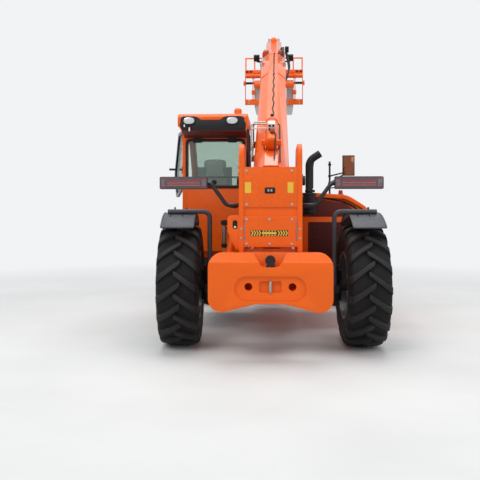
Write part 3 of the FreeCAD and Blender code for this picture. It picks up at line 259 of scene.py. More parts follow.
FENDER = Finish("dark_grey_polyethylene_moulded", "#45474C", "#515359", 0.5, 0.1, pattern=Pattern.GRAIN,
                grain=0.003, relief=0.0002, dust="#8A8A8C", dust_amount=0.3)
RUBBER = Finish("black_rubber_vulcanised", "#1C1B1C", "#2A2827", 0.66, 0.1, pattern=Pattern.CAST,
                grain=0.006, relief=0.0005, mottle=0.8, mottle_size=0.12, dust="#5A544C", dust_amount=0.4)
IRON = Finish("black_enamel_cast_iron", "#1C1C1E", "#2A2826", 0.55, 0.15, pattern=Pattern.CAST,
              grain=0.006, relief=0.0005, dust="#6B6255", dust_amount=0.4)
CARCASS = Finish("black_rubber_cured_in_mould", "#121112", "#181716", 0.75, 0.1, grain=0.004, relief=0.0002,
                 dust="#3E3A36", dust_amount=0.3)
RIM = Finish("dark_grey_enamel_pressed_steel", "#46484C", "#3A3C40", 0.4, 0.1, coat=0.2, grain=0.005,
             relief=0.0001, dust="#6B6255", dust_amount=0.35)
STEEL = Finish("zinc_plated_turned_steel", "#A8A69E", "#8E8A82", 0.35, 0.12, metallic=0.85,
               pattern=Pattern.BRUSHED, grain=0.002, relief=0.00006, dust_amount=0.2)
CHROME = Finish("hard_chromed_ground_steel", "#D8D8DA", "#C8C8CC", 0.1, 0.05, metallic=1.0,
                pattern=Pattern.BRUSHED, grain=0.001, relief=0.00002, dust_amount=0.05)
BRIGHT = Finish("bright_zinc_drawn_pipe", "#C9C6BE", "#B4B0A8", 0.3, 0.1, metallic=0.6, grain=0.003,
                relief=0.00004, dust_amount=0.1)
COPPER = Finish("brown_enamel_turned_fitting", "#8A3E22", "#74341C", 0.35, 0.1, metallic=0.3, grain=0.003,
                relief=0.00008, dust_amount=0.1)
# Grey-green on the seat's dark shell stands for reflections in the rear window glass: painted reflection.
SHELL_PAINTED_REFLECTION = Finish("grey_polypropylene_moulded", "#7C8A87", "#6E7C79", 0.5, 0.1, pattern=Pattern.GRAIN,
               grain=0.0025, relief=0.0002)
NYLON = Finish("cream_nylon_cast", "#B9AF98", "#A59A82", 0.5, 0.1, grain=0.003, relief=0.0001)
WHITE = Finish("white_enamel_machined_block", "#DADAD6", "#C9C9C2", 0.4, 0.1, grain=0.004, relief=0.0001)
# Pale seat cover; its extra lightness and grey-green tint are painted reflection of the window glass.
FABRIC_PAINTED_REFLECTION = Finish("grey_green_polyester_woven", "#BCC6C3", "#ABB5B2", 0.9, 0.05, pattern=Pattern.WEAVE,
                grain=0.0012, relief=0.0004, dust_amount=0.1)
AMBER = Finish("amber_acrylic_moulded", "#E8741A", "#D86412", 0.18, 0.05, coat=0.6, grain=0.01,
               relief=0.00005, dust_amount=0.1)
RED_LENS = Finish("red_acrylic_moulded", "#A8262A", "#981E22", 0.2, 0.06, coat=0.6, pattern=Pattern.GRAIN,
                  grain=0.006, relief=0.0003, dust_amount=0.1)
TAIL_RED = Finish("dull_red_acrylic_ribbed", "#7E4044", "#70363A", 0.25, 0.06, coat=0.5,
                  pattern=Pattern.GRAIN, grain=0.006, relief=0.0003, dust_amount=0.1)
SMOKE_LENS = Finish("smoked_acrylic_ribbed", "#4C4549", "#433D41", 0.22, 0.06, coat=0.5,
                    pattern=Pattern.GRAIN, grain=0.005, relief=0.0004, dust_amount=0.15)
PALE_LENS = Finish("pale_pink_acrylic_moulded", "#A79294", "#957F82", 0.25, 0.06, coat=0.5, grain=0.004,
                   relief=0.0001, dust_amount=0.1)
WHITE_LENS = Finish("clear_polycarbonate_over_bright_bowl", "#D9DCDD", "#B9BEC1", 0.15, 0.06, metallic=0.3,
                    coat=0.7, pattern=Pattern.GRAIN, grain=0.007, relief=0.0005, dust_amount=0.1)
# Orange-brown and grey-green tints stand for what the mirror reflects: painted reflection.
MIRROR_PAINTED_REFLECTION = Finish("silvered_float_glass", "#8A5138", "#46504A", 0.10, 0.03, metallic=1.0, grain=0.05,
                      relief=0.00001, dust_amount=0.1)
FORK = Finish("pale_grey_enamel_forged_steel", "#B4B5B4", "#9C9C9A", 0.5, 0.15, pattern=Pattern.CAST,
              grain=0.01, relief=0.0003, mottle=0.6, mottle_size=0.3, wear="#6A665E", wear_amount=0.5)
# Dark red standing for orange sheet in shade: painted shade.
RED_PAINTED_SHADE = Finish("dark_red_enamel_inner_sheet", "#5E1A12", "#4E150F", 0.5, 0.1, grain=0.005, relief=0.0001)
LOCKER = Finish("grey_enamel_honed_tube", "#8E8C88", "#7C7A76", 0.35, 0.1, metallic=0.5, grain=0.004,
                relief=0.0001)

PAINT = Paintbox()


@dataclass(frozen=True)
class Layout:
    """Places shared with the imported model, in metres and degrees."""

    centre_x: float = 0.070
    rear_axle_y: float = -2.995
    drop: float = -0.022
    wheel_base: float = 3.0
    axle_z: float = 0.595
    kingpin_x: float = 0.59
    wheel_offset: float = 0.262
    rear_steer: float = 3.0
    pivot_d: float = -0.2
    pivot_z: float = 1.57
    boom_angle: float = 25.1
    head_u: float = 5.918
    head_v: float = -0.685

    def at(self, x: float, d: float, z: float) -> Vector:
        """Point from side distance, distance ahead of the rear axle and height."""
        return Vector((self.centre_x + x, self.rear_axle_y + d, z + self.drop))


LAYOUT = Layout()
MACHINE = Matrix.Translation(LAYOUT.at(0, 0, 0))
BOOM = Matrix.Translation(LAYOUT.at(0, LAYOUT.pivot_d, LAYOUT.pivot_z)) @ Matrix.Rotation(
    math.radians(LAYOUT.boom_angle), 4, "X")
HEAD = Matrix.Translation(BOOM @ Vector((0, LAYOUT.head_u, LAYOUT.head_v)))
BODY_OF = {node: body for body, nodes in frame["record"]["behaviour"]["bodies"].items() for node in nodes}


@dataclass(frozen=True)
class Corner:
    """One wheel's corner of the machine."""

    name: str
    side: int
    forward: float
    steer: float

    @property
    def kingpin(self) -> Matrix:
        """Place of the kingpin, turned with the steering."""
        place = LAYOUT.at(self.side * LAYOUT.kingpin_x, self.forward, LAYOUT.axle_z)
        return Matrix.Translation(place) @ Matrix.Rotation(math.radians(self.steer), 4, "Z")

    @property
    def wheel(self) -> Matrix:
        """Place of the wheel's centre, with X pointing outward."""
        flip = Matrix.Rotation(math.pi if self.side < 0 else 0.0, 4, "Z")
        return self.kingpin @ Matrix.Translation((self.side * LAYOUT.wheel_offset, 0, 0)) @ flip


CORNERS = (
    Corner("rear_left", -1, 0.0, LAYOUT.rear_steer), Corner("rear_right", 1, 0.0, LAYOUT.rear_steer),
    Corner("front_left", -1, LAYOUT.wheel_base, 0.0), Corner("front_right", 1, LAYOUT.wheel_base, 0.0),
)


def link(name: str, mesh: bpy.types.Mesh, finish: Finish | bpy.types.Material, body: str) -> bpy.types.Object:
    """Put a mesh in the scene as a piece that rides on a body.

    Args:
        name: Piece name.
        mesh: Its mesh, in row coordinates.
        finish: Finish or ready material.
        body: Body that carries it.

    Returns:
        The new object.
    """
    piece = bpy.data.objects.new(name, mesh)
    bpy.context.scene.collection.objects.link(piece)
    mesh.materials.clear()
    mesh.materials.append(PAINT.get(finish) if isinstance(finish, Finish) else finish)
    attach(piece, body)
    return piece


def evaluated(piece: bpy.types.Object) -> bpy.types.Mesh:
    """Mesh of an object with its modifiers applied."""
    graph = bpy.context.evaluated_depsgraph_get()
    graph.update()
    return bpy.data.meshes.new_from_object(piece.evaluated_get(graph), preserve_all_data_layers=True,
                                           depsgraph=graph)


def smooth(mesh: bpy.types.Mesh, angle: float = 32.0) -> None:
    """Shade a mesh smooth, with edges sharper than an angle kept sharp."""
    mesh.polygons.foreach_set("use_smooth", [True] * len(mesh.polygons))
    mesh.set_sharp_from_angle(angle=math.radians(angle))
    mesh.update()


def bevelled(piece: bpy.types.Object, width: float, segments: int = 2,
             angle: float = 35.0) -> bpy.types.Object:
    """Round the sharp edges of a piece, as a press or a grinder leaves them."""
    modifier = piece.modifiers.new("Rounded", "BEVEL")
    modifier.width = width
    modifier.segments = segments
    modifier.limit_method = "ANGLE"
    modifier.angle_limit = math.radians(angle)
    modifier.miter_outer = "MITER_ARC"
    mesh = evaluated(piece)
    piece.modifiers.clear()
    piece.data = mesh
    smooth(mesh, 40.0)
    return piece


def node_mesh(node: str) -> bpy.types.Mesh:
    """Copy of a CAD node's mesh with its loose triangles merged into clean faces."""
    mesh = frame["nodes"][node].data.copy()
    work = bmesh.new()
    work.from_mesh(mesh)
    bmesh.ops.remove_doubles(work, verts=work.verts, dist=2e-5)
    bmesh.ops.dissolve_limit(work, angle_limit=math.radians(1.5), verts=work.verts, edges=work.edges)
    work.to_mesh(mesh)
    work.free()
    return mesh


def refine(node: str, finish: Finish, width: float = 0.003, shrink: float = 0.0) -> bpy.types.Object:
    """Finished skin of a CAD node: rounded edges and clean shading.

    Args:
        node: Node it stands for.
        finish: Its finish.
        width: Edge radius.
        shrink: How far the skin moves inward, for pins that turn in their bores.

    Returns:
        The new piece.
    """
    piece = link(node + "_finished", node_mesh(node), finish, BODY_OF[node])
    if shrink > 0:
        inward = [vertex.normal.copy() for vertex in piece.data.vertices]
        for vertex, normal in zip(piece.data.vertices, inward):
            vertex.co -= normal * shrink
    bevelled(piece, width)
    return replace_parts(piece, node)


def rounded(corners: Sequence[Sequence[float]], steps: int = 5) -> list[tuple[float, float]]:
    """Flat outline with rounded corners.

    Args:
        corners: Corners as (a, b) or (a, b, radius), counterclockwise or clockwise.
        steps: Segments of each rounded corner.

    Returns:
        Outline points.
    """
    points = []
    for i, corner in enumerate(corners):
        here = Vector(corner[:2])
        if len(corner) < 3 or corner[2] <= 0:
            points.append((here.x, here.y))
            continue
        back = (Vector(corners[i - 1][:2]) - here).normalized()
        ahead = (Vector(corners[(i + 1) % len(corners)][:2]) - here).normalized()
        half = back.angle(ahead) / 2
        centre = here + (back + ahead).normalized() * (corner[2] / math.sin(half))
        first = here + back * (corner[2] / math.tan(half)) - centre
        last = here + ahead * (corner[2] / math.tan(half)) - centre
        turn = first.angle_signed(last)
        for k in range(steps + 1):
            spot = centre + Matrix.Rotation(-turn * k / steps, 2) @ first
            points.append((spot.x, spot.y))
    return points


def oblong(x0: float, z0: float, x1: float, z1: float, radius: float, steps: int = 5) -> list:
    """Outline of a rectangle between two corners, rounded by one radius."""
    return rounded([(x0, z0, radius), (x0, z1, radius), (x1, z1, radius), (x1, z0, radius)], steps)


class Shape:
    """Collects solids in one mesh; points pass through a place."""

    def __init__(self, place: Matrix = MACHINE) -> None:
        self.work = bmesh.new()
        self.place = place

    def skin(self, rings: Sequence[Sequence[Sequence[float]]], looped: bool = False) -> None:
        """Join rings of equal length into a closed solid.

        Args:
            rings: Rings of points, in order.
            looped: True where the last ring meets the first, as in a hoop.
        """
        rows = [[self.work.verts.new(self.place @ Vector(p)) for p in ring] for ring in rings]
        pairs = list(zip(rows, rows[1:]))
        if looped:
            pairs.append((rows[-1], rows[0]))
        for low, high in pairs:
            for i in range(len(low)):
                j = (i + 1) % len(low)
                self.work.faces.new((low[i], low[j], high[j], high[i]))
        if not looped:
            self.work.faces.new(list(reversed(rows[0])))
            self.work.faces.new(rows[-1])

    def prism(self, outline: Sequence[Sequence[float]], axis: str, low: float, high: float) -> "Shape":
        """Straight solid of a flat outline along X, Y or Z."""
        slot = "XYZ".index(axis)
        rings = []
        for level in (low, high):
            ring = []
            for a, b in outline:
                point = [a, b]
                point.insert(slot, level)
                ring.append(point)
            rings.append(ring)
        self.skin(rings)
        return self

    def ring_plate(self, outer: Sequence, inner: Sequence, low: float, high: float) -> "Shape":
        """Frame between two outlines of equal point count, in the XZ plane."""
        rings = []
        for (a, b), (p, q) in zip(outer, inner):
            rings.append([(a, low, b), (a, high, b), (p, high, q), (p, low, q)])
        self.skin(rings, looped=True)
        return self

    def box(self, low: Sequence[float], high: Sequence[float]) -> "Shape":
        """Block between two corners."""
        outline = [(low[0], low[2]), (high[0], low[2]), (high[0], high[2]), (low[0], high[2])]
        return self.prism(outline, "Y", low[1], high[1])

    def lathe(self, profile: Sequence[Sequence[float]], start: Sequence[float], axis: Sequence[float],
              steps: int = 24, looped: bool = False) -> "Shape":
        """Turned solid: profile points are (along, radius) from a start point."""
        way = Vector(axis).normalized()
        side = way.orthogonal().normalized()
        other = way.cross(side)
        rings = []
        for along, radius in profile:
            ring = []
            for k in range(steps):
                a = 2 * math.pi * (k + 0.5) / steps
                ring.append(Vector(start) + way * along + (side * math.cos(a) + other * math.sin(a)) * radius)
            rings.append(ring)
        self.skin(rings, looped)
        return self

    def bolt(self, start: Sequence[float], axis: Sequence[float], radius: float) -> "Shape":
        """Hexagon head on a washer, standing out along an axis."""
        self.lathe([(0, radius * 1.35), (radius * 0.22, radius * 1.35), (radius * 0.3, radius * 1.2)], start,
                   axis, 18)
        lift = Vector(start) + Vector(axis).normalized() * radius * 0.28
        self.lathe([(0, radius), (radius * 0.75, radius), (radius * 0.95, radius * 0.8)], lift, axis, 6)
        return self

    def tube(self, points: Sequence[Sequence[float]], radius: float, bend: float = 0.0,
             sides: int = 12) -> "Shape":
        """Round tube along a line of points with rounded corners."""
        path = [Vector(p) for p in points]
        line = [path[0]]
        for i in range(1, len(path) - 1):
            back = path[i - 1] - path[i]
            ahead = path[i + 1] - path[i]
            reach = min(bend, back.length * 0.48, ahead.length * 0.48)
            if reach <= 0:
                line.append(path[i])
                continue
            first = path[i] + back.normalized() * reach
            last = path[i] + ahead.normalized() * reach
            for k in range(7):
                t = k / 6
                line.append(first * (1 - t) ** 2 + path[i] * 2 * t * (1 - t) + last * t ** 2)
        line.append(path[-1])
        side = (line[1] - line[0]).orthogonal().normalized()
        rings = []
        for i, spot in enumerate(line):
            way = (line[min(i + 1, len(line) - 1)] - line[max(i - 1, 0)]).normalized()
            side = (side - way * side.dot(way)).normalized()
            other = way.cross(side)
            rings.append([spot + (side * math.cos(a) + other * math.sin(a)) * radius
                          for a in (2 * math.pi * k / sides for k in range(sides))])
        self.skin(rings)
        return self

    def mesh(self, name: str, width: float = 0.0) -> bpy.types.Mesh:
        """Turn what was collected into a mesh with outward faces and rounded edges."""
        bmesh.ops.recalc_face_normals(self.work, faces=self.work.faces)
        if width:
            sharp = [e for e in self.work.edges if e.calc_face_angle(0.0) > math.radians(35)]
            bmesh.ops.bevel(self.work, geom=sharp, offset=width, offset_type="OFFSET", segments=2,
                            profile=0.5, affect="EDGES", clamp_overlap=True, miter_outer="ARC")
        made = bpy.data.meshes.new(name)
        self.work.to_mesh(made)
        self.work.free()
        smooth(made, 40.0)
        return made

    def done(self, name: str, finish: Finish | bpy.types.Material, body: str,
             width: float = 0.0) -> bpy.types.Object:
        """Turn what was collected into a piece, with rounded edges where a width is given."""
        return link(name, self.mesh(name, width), finish, body)


class Arrays:
    """Geometry node groups that repeat a small mesh, then turn it into plain mesh."""

    def __init__(self) -> None:
        self.ring = self.build_ring()
        self.grid = self.build_grid()

    def start(self, name: str, inputs: Sequence[tuple[str, str]]) -> bpy.types.NodeTree:
        """New group with one geometry in and out and some named inputs."""
        tree = bpy.data.node_groups.new(name, "GeometryNodeTree")
        tree.is_modifier = True
        tree.interface.new_socket("Geometry", in_out="OUTPUT", socket_type="NodeSocketGeometry")
        tree.interface.new_socket("Geometry", in_out="INPUT", socket_type="NodeSocketGeometry")
        for label, kind in inputs:
            tree.interface.new_socket(label, in_out="INPUT", socket_type=kind)
        return tree

    def end(self, tree: bpy.types.NodeTree, source, points, rotation) -> None:
        """Put the mesh on the points, make it real and give it its material."""
        spread = tree.nodes.new("GeometryNodeInstanceOnPoints")
        real = tree.nodes.new("GeometryNodeRealizeInstances")
        painted = tree.nodes.new("GeometryNodeSetMaterial")
        out = tree.nodes.new("NodeGroupOutput")
        tree.links.new(points, spread.inputs["Points"])
        tree.links.new(source.outputs["Geometry"], spread.inputs["Instance"])
        if rotation is not None:
            tree.links.new(rotation, spread.inputs["Rotation"])
        tree.links.new(spread.outputs[0], real.inputs[0])
        tree.links.new(real.outputs[0], painted.inputs["Geometry"])
        tree.links.new(source.outputs["Material"], painted.inputs["Material"])
        tree.links.new(painted.outputs[0], out.inputs[0])

    def build_ring(self) -> bpy.types.NodeTree:
        """Copies turned about the X axis, evenly round a full circle."""
        tree = self.start("Ring array", [
            ("Count", "NodeSocketInt"), ("Phase", "NodeSocketFloat"), ("Material", "NodeSocketMaterial")])
        source = tree.nodes.new("NodeGroupInput")
        points = tree.nodes.new("GeometryNodePoints")
        tree.links.new(source.outputs["Count"], points.inputs["Count"])
        index = tree.nodes.new("GeometryNodeInputIndex")
        share = self.math(tree, "DIVIDE", index.outputs[0], source.outputs["Count"])
        turned = self.math(tree, "ADD", share, source.outputs["Phase"])
        angle = self.math(tree, "MULTIPLY", turned, 2 * math.pi)
        axis = tree.nodes.new("ShaderNodeCombineXYZ")
        tree.links.new(angle, axis.inputs[0])
        self.end(tree, source, points.outputs[0], axis.outputs[0])
        return tree

    def build_grid(self) -> bpy.types.NodeTree:
        """Copies in columns and rows along two steps."""
        tree = self.start("Grid array", [
            ("Columns", "NodeSocketInt"), ("Rows", "NodeSocketInt"), ("Column step", "NodeSocketVector"),
            ("Row step", "NodeSocketVector"), ("Material", "NodeSocketMaterial")])
        source = tree.nodes.new("NodeGroupInput")
        total = self.math(tree, "MULTIPLY", source.outputs["Columns"], source.outputs["Rows"])
        index = tree.nodes.new("GeometryNodeInputIndex")
        column = self.math(tree, "MODULO", index.outputs[0], source.outputs["Columns"])
        share = self.math(tree, "DIVIDE", index.outputs[0], source.outputs["Columns"])
        row = self.math(tree, "FLOOR", share, 0.0)
        parts = []
        for count, step in ((column, "Column step"), (row, "Row step")):
            scaled = tree.nodes.new("ShaderNodeVectorMath")
            scaled.operation = "SCALE"
            tree.links.new(source.outputs[step], scaled.inputs[0])
            tree.links.new(count, scaled.inputs["Scale"])
            parts.append(scaled.outputs[0])
        place = tree.nodes.new("ShaderNodeVectorMath")
        tree.links.new(parts[0], place.inputs[0])
        tree.links.new(parts[1], place.inputs[1])
        points = tree.nodes.new("GeometryNodePoints")
        tree.links.new(total, points.inputs["Count"])
        tree.links.new(place.outputs[0], points.inputs["Position"])
        self.end(tree, source, points.outputs[0], None)
        return tree

    @staticmethod
    def math(tree: bpy.types.NodeTree, operation: str, first, second) -> bpy.types.NodeSocket:
        """One arithmetic node; either side may be a socket or a number."""
        made = tree.nodes.new("ShaderNodeMath")
        made.operation = operation
        for slot, value in enumerate((first, second)):
            if isinstance(value, bpy.types.NodeSocket):
                tree.links.new(value, made.inputs[slot])
            else:
                made.inputs[slot].default_value = value
        return made.outputs[0]

    def apply(self, name: str, mesh: bpy.types.Mesh, group: bpy.types.NodeTree, values: dict,
              finish: Finish, body: str, place: Matrix | None = None) -> bpy.types.Object:
        """Repeat a mesh with a group and keep the result as a plain piece.

        Args:
            name: Piece name.
            mesh: Mesh to repeat.
            group: Ring or grid group.
            values: Its inputs by name.
            finish: Finish of the result.
            body: Body that carries it.
            place: Place of the result, where the mesh isn't in row coordinates.

        Returns:
            The new piece.
        """
        carrier = bpy.data.objects.new(name + "_source", mesh)
        bpy.context.scene.collection.objects.link(carrier)
        modifier = carrier.modifiers.new("Array", "NODES")
        modifier.node_group = group
        wanted = {**values, "Material": PAINT.get(finish)}
        for item in group.interface.items_tree:
            if item.in_out == "INPUT" and item.name in wanted:
                modifier[item.identifier] = wanted[item.name]
        made = evaluated(carrier)
        carrier.modifiers.clear()
        bpy.data.objects.remove(carrier)
        if place is not None:
            made.transform(place)
        smooth(made, 40.0)
        return link(name, made, finish, body)


ARRAYS = Arrays()


@dataclass(frozen=True)
class TyreSize:
    """Sizes of the farm-tread tyre, in metres."""

    lugs: int = 18
    carcass: tuple = (
        (0.165, 0.300), (0.172, 0.322), (0.179, 0.340), (0.1815, 0.345), (0.1815, 0.352), (0.180, 0.358),
        (0.1885, 0.395), (0.1912, 0.425), (0.1912, 0.452), (0.1870, 0.476), (0.1770, 0.502), (0.1650, 0.519),
        (0.1450, 0.529), (0.0800, 0.533), (0.0000, 0.534))
    stations: tuple = (
        (-0.030, 0.569, 0.522, 0.016), (-0.022, 0.573, 0.522, 0.022), (0.030, 0.573, 0.522, 0.024),
        (0.080, 0.573, 0.522, 0.024), (0.125, 0.562, 0.518, 0.026), (0.160, 0.551, 0.508, 0.030),
        (0.177, 0.536, 0.494, 0.033), (0.1872, 0.500, 0.478, 0.034), (0.1908, 0.468, 0.458, 0.030))
    rake: float = 0.74


class Wheel:
    """Tyre with raised lugs, and the nuts and valve of its rim."""

    def __init__(self, corner: Corner, size: TyreSize = TyreSize()) -> None:
        self.corner = corner
        self.size = size
        self.body = "wheel_" + corner.name
        self.centre = corner.kingpin @ Matrix.Translation((corner.side * LAYOUT.wheel_offset, 0, 0))

    def build(self) -> None:
        """Make every piece of the wheel."""
        self.carcass()
        for side in (-1, 1):
            self.lugs(side)
        refine("rim_" + self.corner.name, RIM, 0.003)
        self.hardware()

    def carcass(self) -> None:
        """Turned carcass with rounded sidewalls and bead ribs."""
        half = list(self.size.carcass)
        profile = [(-a, r) for a, r in half] + [(a, r) for a, r in reversed(half[:-1])]
        tyre = Shape(self.centre).lathe(profile, (0, 0, 0), (1, 0, 0), 96, looped=True)
        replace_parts(tyre.done("tyre_carcass_" + self.corner.name, CARCASS, self.body),
                    "tyre_" + self.corner.name)

    def lugs(self, side: int) -> None:
        """Slanted bars from past the middle to the shoulder, once per pitch."""
        rings = []
        for across, top, foot, half in self.size.stations:
            along = (0.19 - across) * self.size.rake
            ring = []
            for radius, offset in ((foot, -half - 0.009), (top, -half), (top, half), (foot, half + 0.009)):
                turn = (along + offset) / 0.573
                ring.append((side * across, -radius * math.cos(turn), radius * math.sin(turn)))
            rings.append(ring)
        bar = Shape(Matrix.Identity(4))
        bar.skin(rings)
        name = f"tread_lugs_{'outer' if side == self.corner.side else 'inner'}_{self.corner.name}"
        phase = 0.0 if side > 0 else 0.5 / self.size.lugs
        ARRAYS.apply(name, bar.mesh(name, 0.003), ARRAYS.ring, {"Count": self.size.lugs, "Phase": phase},
                     RUBBER, self.body, self.centre)

    def hardware(self) -> None:
        """Nuts on the hub and the disc, hub cap and valve stem."""
        for label, count, along, radius, nut in (("hub", 8, 0.085, 0.095, 0.011),
                                                 ("disc", 10, 0.024, 0.152, 0.013)):
            one = Shape(Matrix.Identity(4)).bolt((along, 0, radius), (1, 0, 0), nut)
            name = f"{label}_nuts_{self.corner.name}"
            ARRAYS.apply(name, one.mesh(name), ARRAYS.ring, {"Count": count, "Phase": 0.0}, STEEL, self.body,
                         self.corner.wheel)
        cap = Shape(self.corner.wheel)
        cap.lathe([(0, 0.062), (0.010, 0.062), (0.018, 0.056), (0.022, 0.040), (0.024, 0.0005)],
                  (0.085, 0, 0), (1, 0, 0), 32)
        cap.lathe([(0, 0.012), (0.006, 0.012), (0.008, 0.009)], (0.107, 0, 0), (1, 0, 0), 6)
        cap.done("hub_cap_" + self.corner.name, IRON, self.body)
        valve = Shape(self.corner.wheel)
        valve.tube([(0.012, 0, 0.262), (0.045, 0, 0.250), (0.060, 0, 0.238)], 0.004, 0.02)
        valve.lathe([(0, 0.006), (0.014, 0.006), (0.016, 0.004)], (0.056, 0, 0.241), (0.015, 0, -0.012), 12)
        valve.done("valve_" + self.corner.name, RUBBER, self.body)


class Fender:
    """Moulded fender of one wheel: skin, dark strips of painted shade where the air slits are, lips, clamps
    and their bolted plates.
    """

    middle = 0.2695
    skin_radius = 0.680
    slit_radius = 0.6885
    slit_half = 0.003
    lip_half = 0.1455
    lip_radius = 0.677
    clamps_at = (-0.055, 0.055)
    smallest_split_face = 5

    def __init__(self, corner: Corner) -> None:
        self.corner = corner
        self.body = "knuckle_" + corner.name

    def build(self) -> None:
        """Make the fender's pieces."""
        skin = refine("fender_" + self.corner.name, FENDER, 0.004)
        split = skin.modifiers.new("split", "TRIANGULATE")
        split.min_vertices = self.smallest_split_face
        refine("knuckle_" + self.corner.name, IRON, 0.004)
        place = self.corner.kingpin @ Matrix.Translation((self.corner.side * self.middle, 0, 0))
        slits = Shape(place)
        clamps = Shape(place)
        plates = Shape(place)
        for across in self.clamps_at:
            for way in (-1, 1):
                rings = []
                for k in range(7):
                    angle = way * math.radians(4 + 14 * k / 6)
                    ring = []
                    for shift, radius in ((-self.slit_half, self.skin_radius),
                                          (-self.slit_half, self.slit_radius),
                                          (self.slit_half, self.slit_radius),
                                          (self.slit_half, self.skin_radius)):
                        ring.append((across - 0.022 + shift, radius * math.sin(angle),
                                     radius * math.cos(angle)))
                    rings.append(ring)
                slits.skin(rings)
            clamps.tube([(across, -0.032, 0.6870), (across, -0.0270, 0.7300), (across, 0.0270, 0.7300),
                         (across, 0.032, 0.6870)], 0.005, 0.028)
            plates.box((across - 0.015, -0.046, 0.6885), (across + 0.015, 0.046, 0.6945))
            for way in (-1, 1):
                plates.bolt((across, way * 0.038, 0.6945), (0, 0, 1), 0.007)
        lips = Shape(place)
        for across in (-self.lip_half, self.lip_half):
            arc = [(across, self.lip_radius * math.sin(math.radians(a)),
                    self.lip_radius * math.cos(math.radians(a)))
                   for a in range(-35, 36, 5)]
            lips.tube(arc, 0.0075, 0.02, 10)
        for a in (-35.4, 35.4):
            y, z = 0.6765 * math.sin(math.radians(a)), 0.6765 * math.cos(math.radians(a))
            lips.tube([(-self.lip_half, y, z), (self.lip_half, y, z)], 0.0085, 0.02, 12)
        lips.done("fender_lips_" + self.corner.name, FENDER, self.body)
        # Dark strips on the skin stand for the shade inside the air slits: painted shade.
        slits.done("fender_slits_" + self.corner.name, SOOT, self.body)
        clamps.done("fender_clamps_" + self.corner.name, BLACK, self.body)
        plates.done("fender_plates_" + self.corner.name, STEEL, self.body)


class RearLight:
    """Rear light bar: case, lens, red lines and bars, pale lines, dots, bolts and cable."""

    def __init__(self, side: int) -> None:
        self.side = side
        self.name = "left" if side < 0 else "right"
        self.face = -0.473
        self.low = 1.487
        self.high = 1.598
        ends = sorted((side * 0.558, side * 0.985))
        self.near = ends[0]
        self.far = ends[1]

    def outline(self, inset: float, radius: float, slant: float = 0.0) -> list:
        """Rounded rectangle of the lamp's rear view, moved inward."""
        low, high = self.low + inset, self.high - inset
        near, far = self.near + inset + slant, self.far - inset - slant
        return oblong(near, low, far, high, radius, 4)

    def build(self) -> bpy.types.Object:
        """Make the lamp's pieces and return its case."""
        case = Shape().prism(self.outline(0.0, 0.013), "Y", self.face + 0.007, -0.428)
        case = case.done(f"light_case_{self.name}", BLACK, "chassis", 0.003)
        lens = Shape().prism(self.outline(0.005, 0.009), "Y", self.face + 0.002, self.face + 0.012)
        lens.done(f"light_lens_{self.name}", SMOKE_LENS, "chassis", 0.0015)
        lines = Shape()
        section = ((0.0004, -0.0024), (0.004, -0.0024), (0.004, 0.0024), (0.0004, 0.0024))
        for a, b in ((self.near, 1), (self.far, -1)):
            for z, up in ((self.low, 1), (self.high, -1)):
                lines.skin([[(a + b * (0.010 + reach), self.face + y, z + up * (0.010 + rise) + w)
                             for y, w in section] for reach, rise in ((0.0, 0.0), (0.052, 0.021))])
        near, far = self.near + 0.062, self.far - 0.062
        for z in (self.low + 0.0310, self.high - 0.0310):
            lines.box((near, self.face + 0.0004, z - 0.0022), (far, self.face + 0.004, z + 0.0022))
        lines.done(f"light_red_lines_{self.name}", RED_LENS, "chassis")
        bars = Shape()
        pale = Shape()
        middle = (self.low + self.high) / 2
        for z, half in ((middle + 0.0115, 0.0085), (middle - 0.0115, 0.0060)):
            bars.prism(oblong(near + 0.006, z - half, far - 0.006, z + half, 0.004, 3), "Y", self.face,
                       self.face + 0.006)
        pale.box((near + 0.004, self.face + 0.0005, middle - 0.0018),
                 (far - 0.004, self.face + 0.004, middle + 0.0010))
        pale.box((near + 0.004, self.face + 0.0005, middle - 0.0222),
                 (far - 0.004, self.face + 0.004, middle - 0.0198))
        bars.done(f"light_red_bars_{self.name}", TAIL_RED, "chassis", 0.0008)
        pale.done(f"light_pale_lines_{self.name}", PALE_LENS, "chassis")
        for label, start, step in (("near", self.near + 0.018, 1), ("far", self.far - 0.018, -1)):
            dot = Shape().lathe([(0, 0.0024), (0.0008, 0.0022), (0.0013, 0.0012)],
                                (start, self.face + 0.002, self.low + 0.030), (0, -1, 0), 8)
            name = f"light_dots_{label}_{self.name}"
            values = {"Columns": 5, "Rows": 7, "Column step": (step * 0.0070, 0, 0),
                      "Row step": (0, 0, 0.0085)}
            ARRAYS.apply(name, dot.mesh(name), ARRAYS.grid, values, PALE_LENS, "chassis")
        dots = Shape().lathe([(0, 0.0018), (0.0007, 0.0010)],
                             (self.near + 0.030, self.face + 0.002, self.low + 0.0105), (0, -1, 0), 6)
        values = {"Columns": 62, "Rows": 2, "Column step": (0.006, 0, 0), "Row step": (0, 0, 0.090)}
        ARRAYS.apply(f"light_edge_dots_{self.name}", dots.mesh("edge_dots"), ARRAYS.grid, values, SMOKE_LENS,
                     "chassis")
        fittings = Shape()
        for x in (self.side * 0.620, self.side * 0.660):
            fittings.bolt((x, -0.428, 1.525), (0, 1, 0), 0.007)
            fittings.bolt((x, -0.428, 1.560), (0, 1, 0), 0.007)
        fittings.done(f"light_bolts_{self.name}", STEEL, "chassis")
        cable = Shape().tube([(self.side * 0.60, -0.424, 1.50), (self.side * 0.56, -0.400, 1.50),
                              (self.side * 0.52, -0.372, 1.498), (self.side * 0.40, -0.372, 1.332),
                              (self.side * 0.30, -0.372, 1.322)], 0.005, 0.05)
        cable.done(f"light_cable_{self.name}", RUBBER, "chassis")
        return case


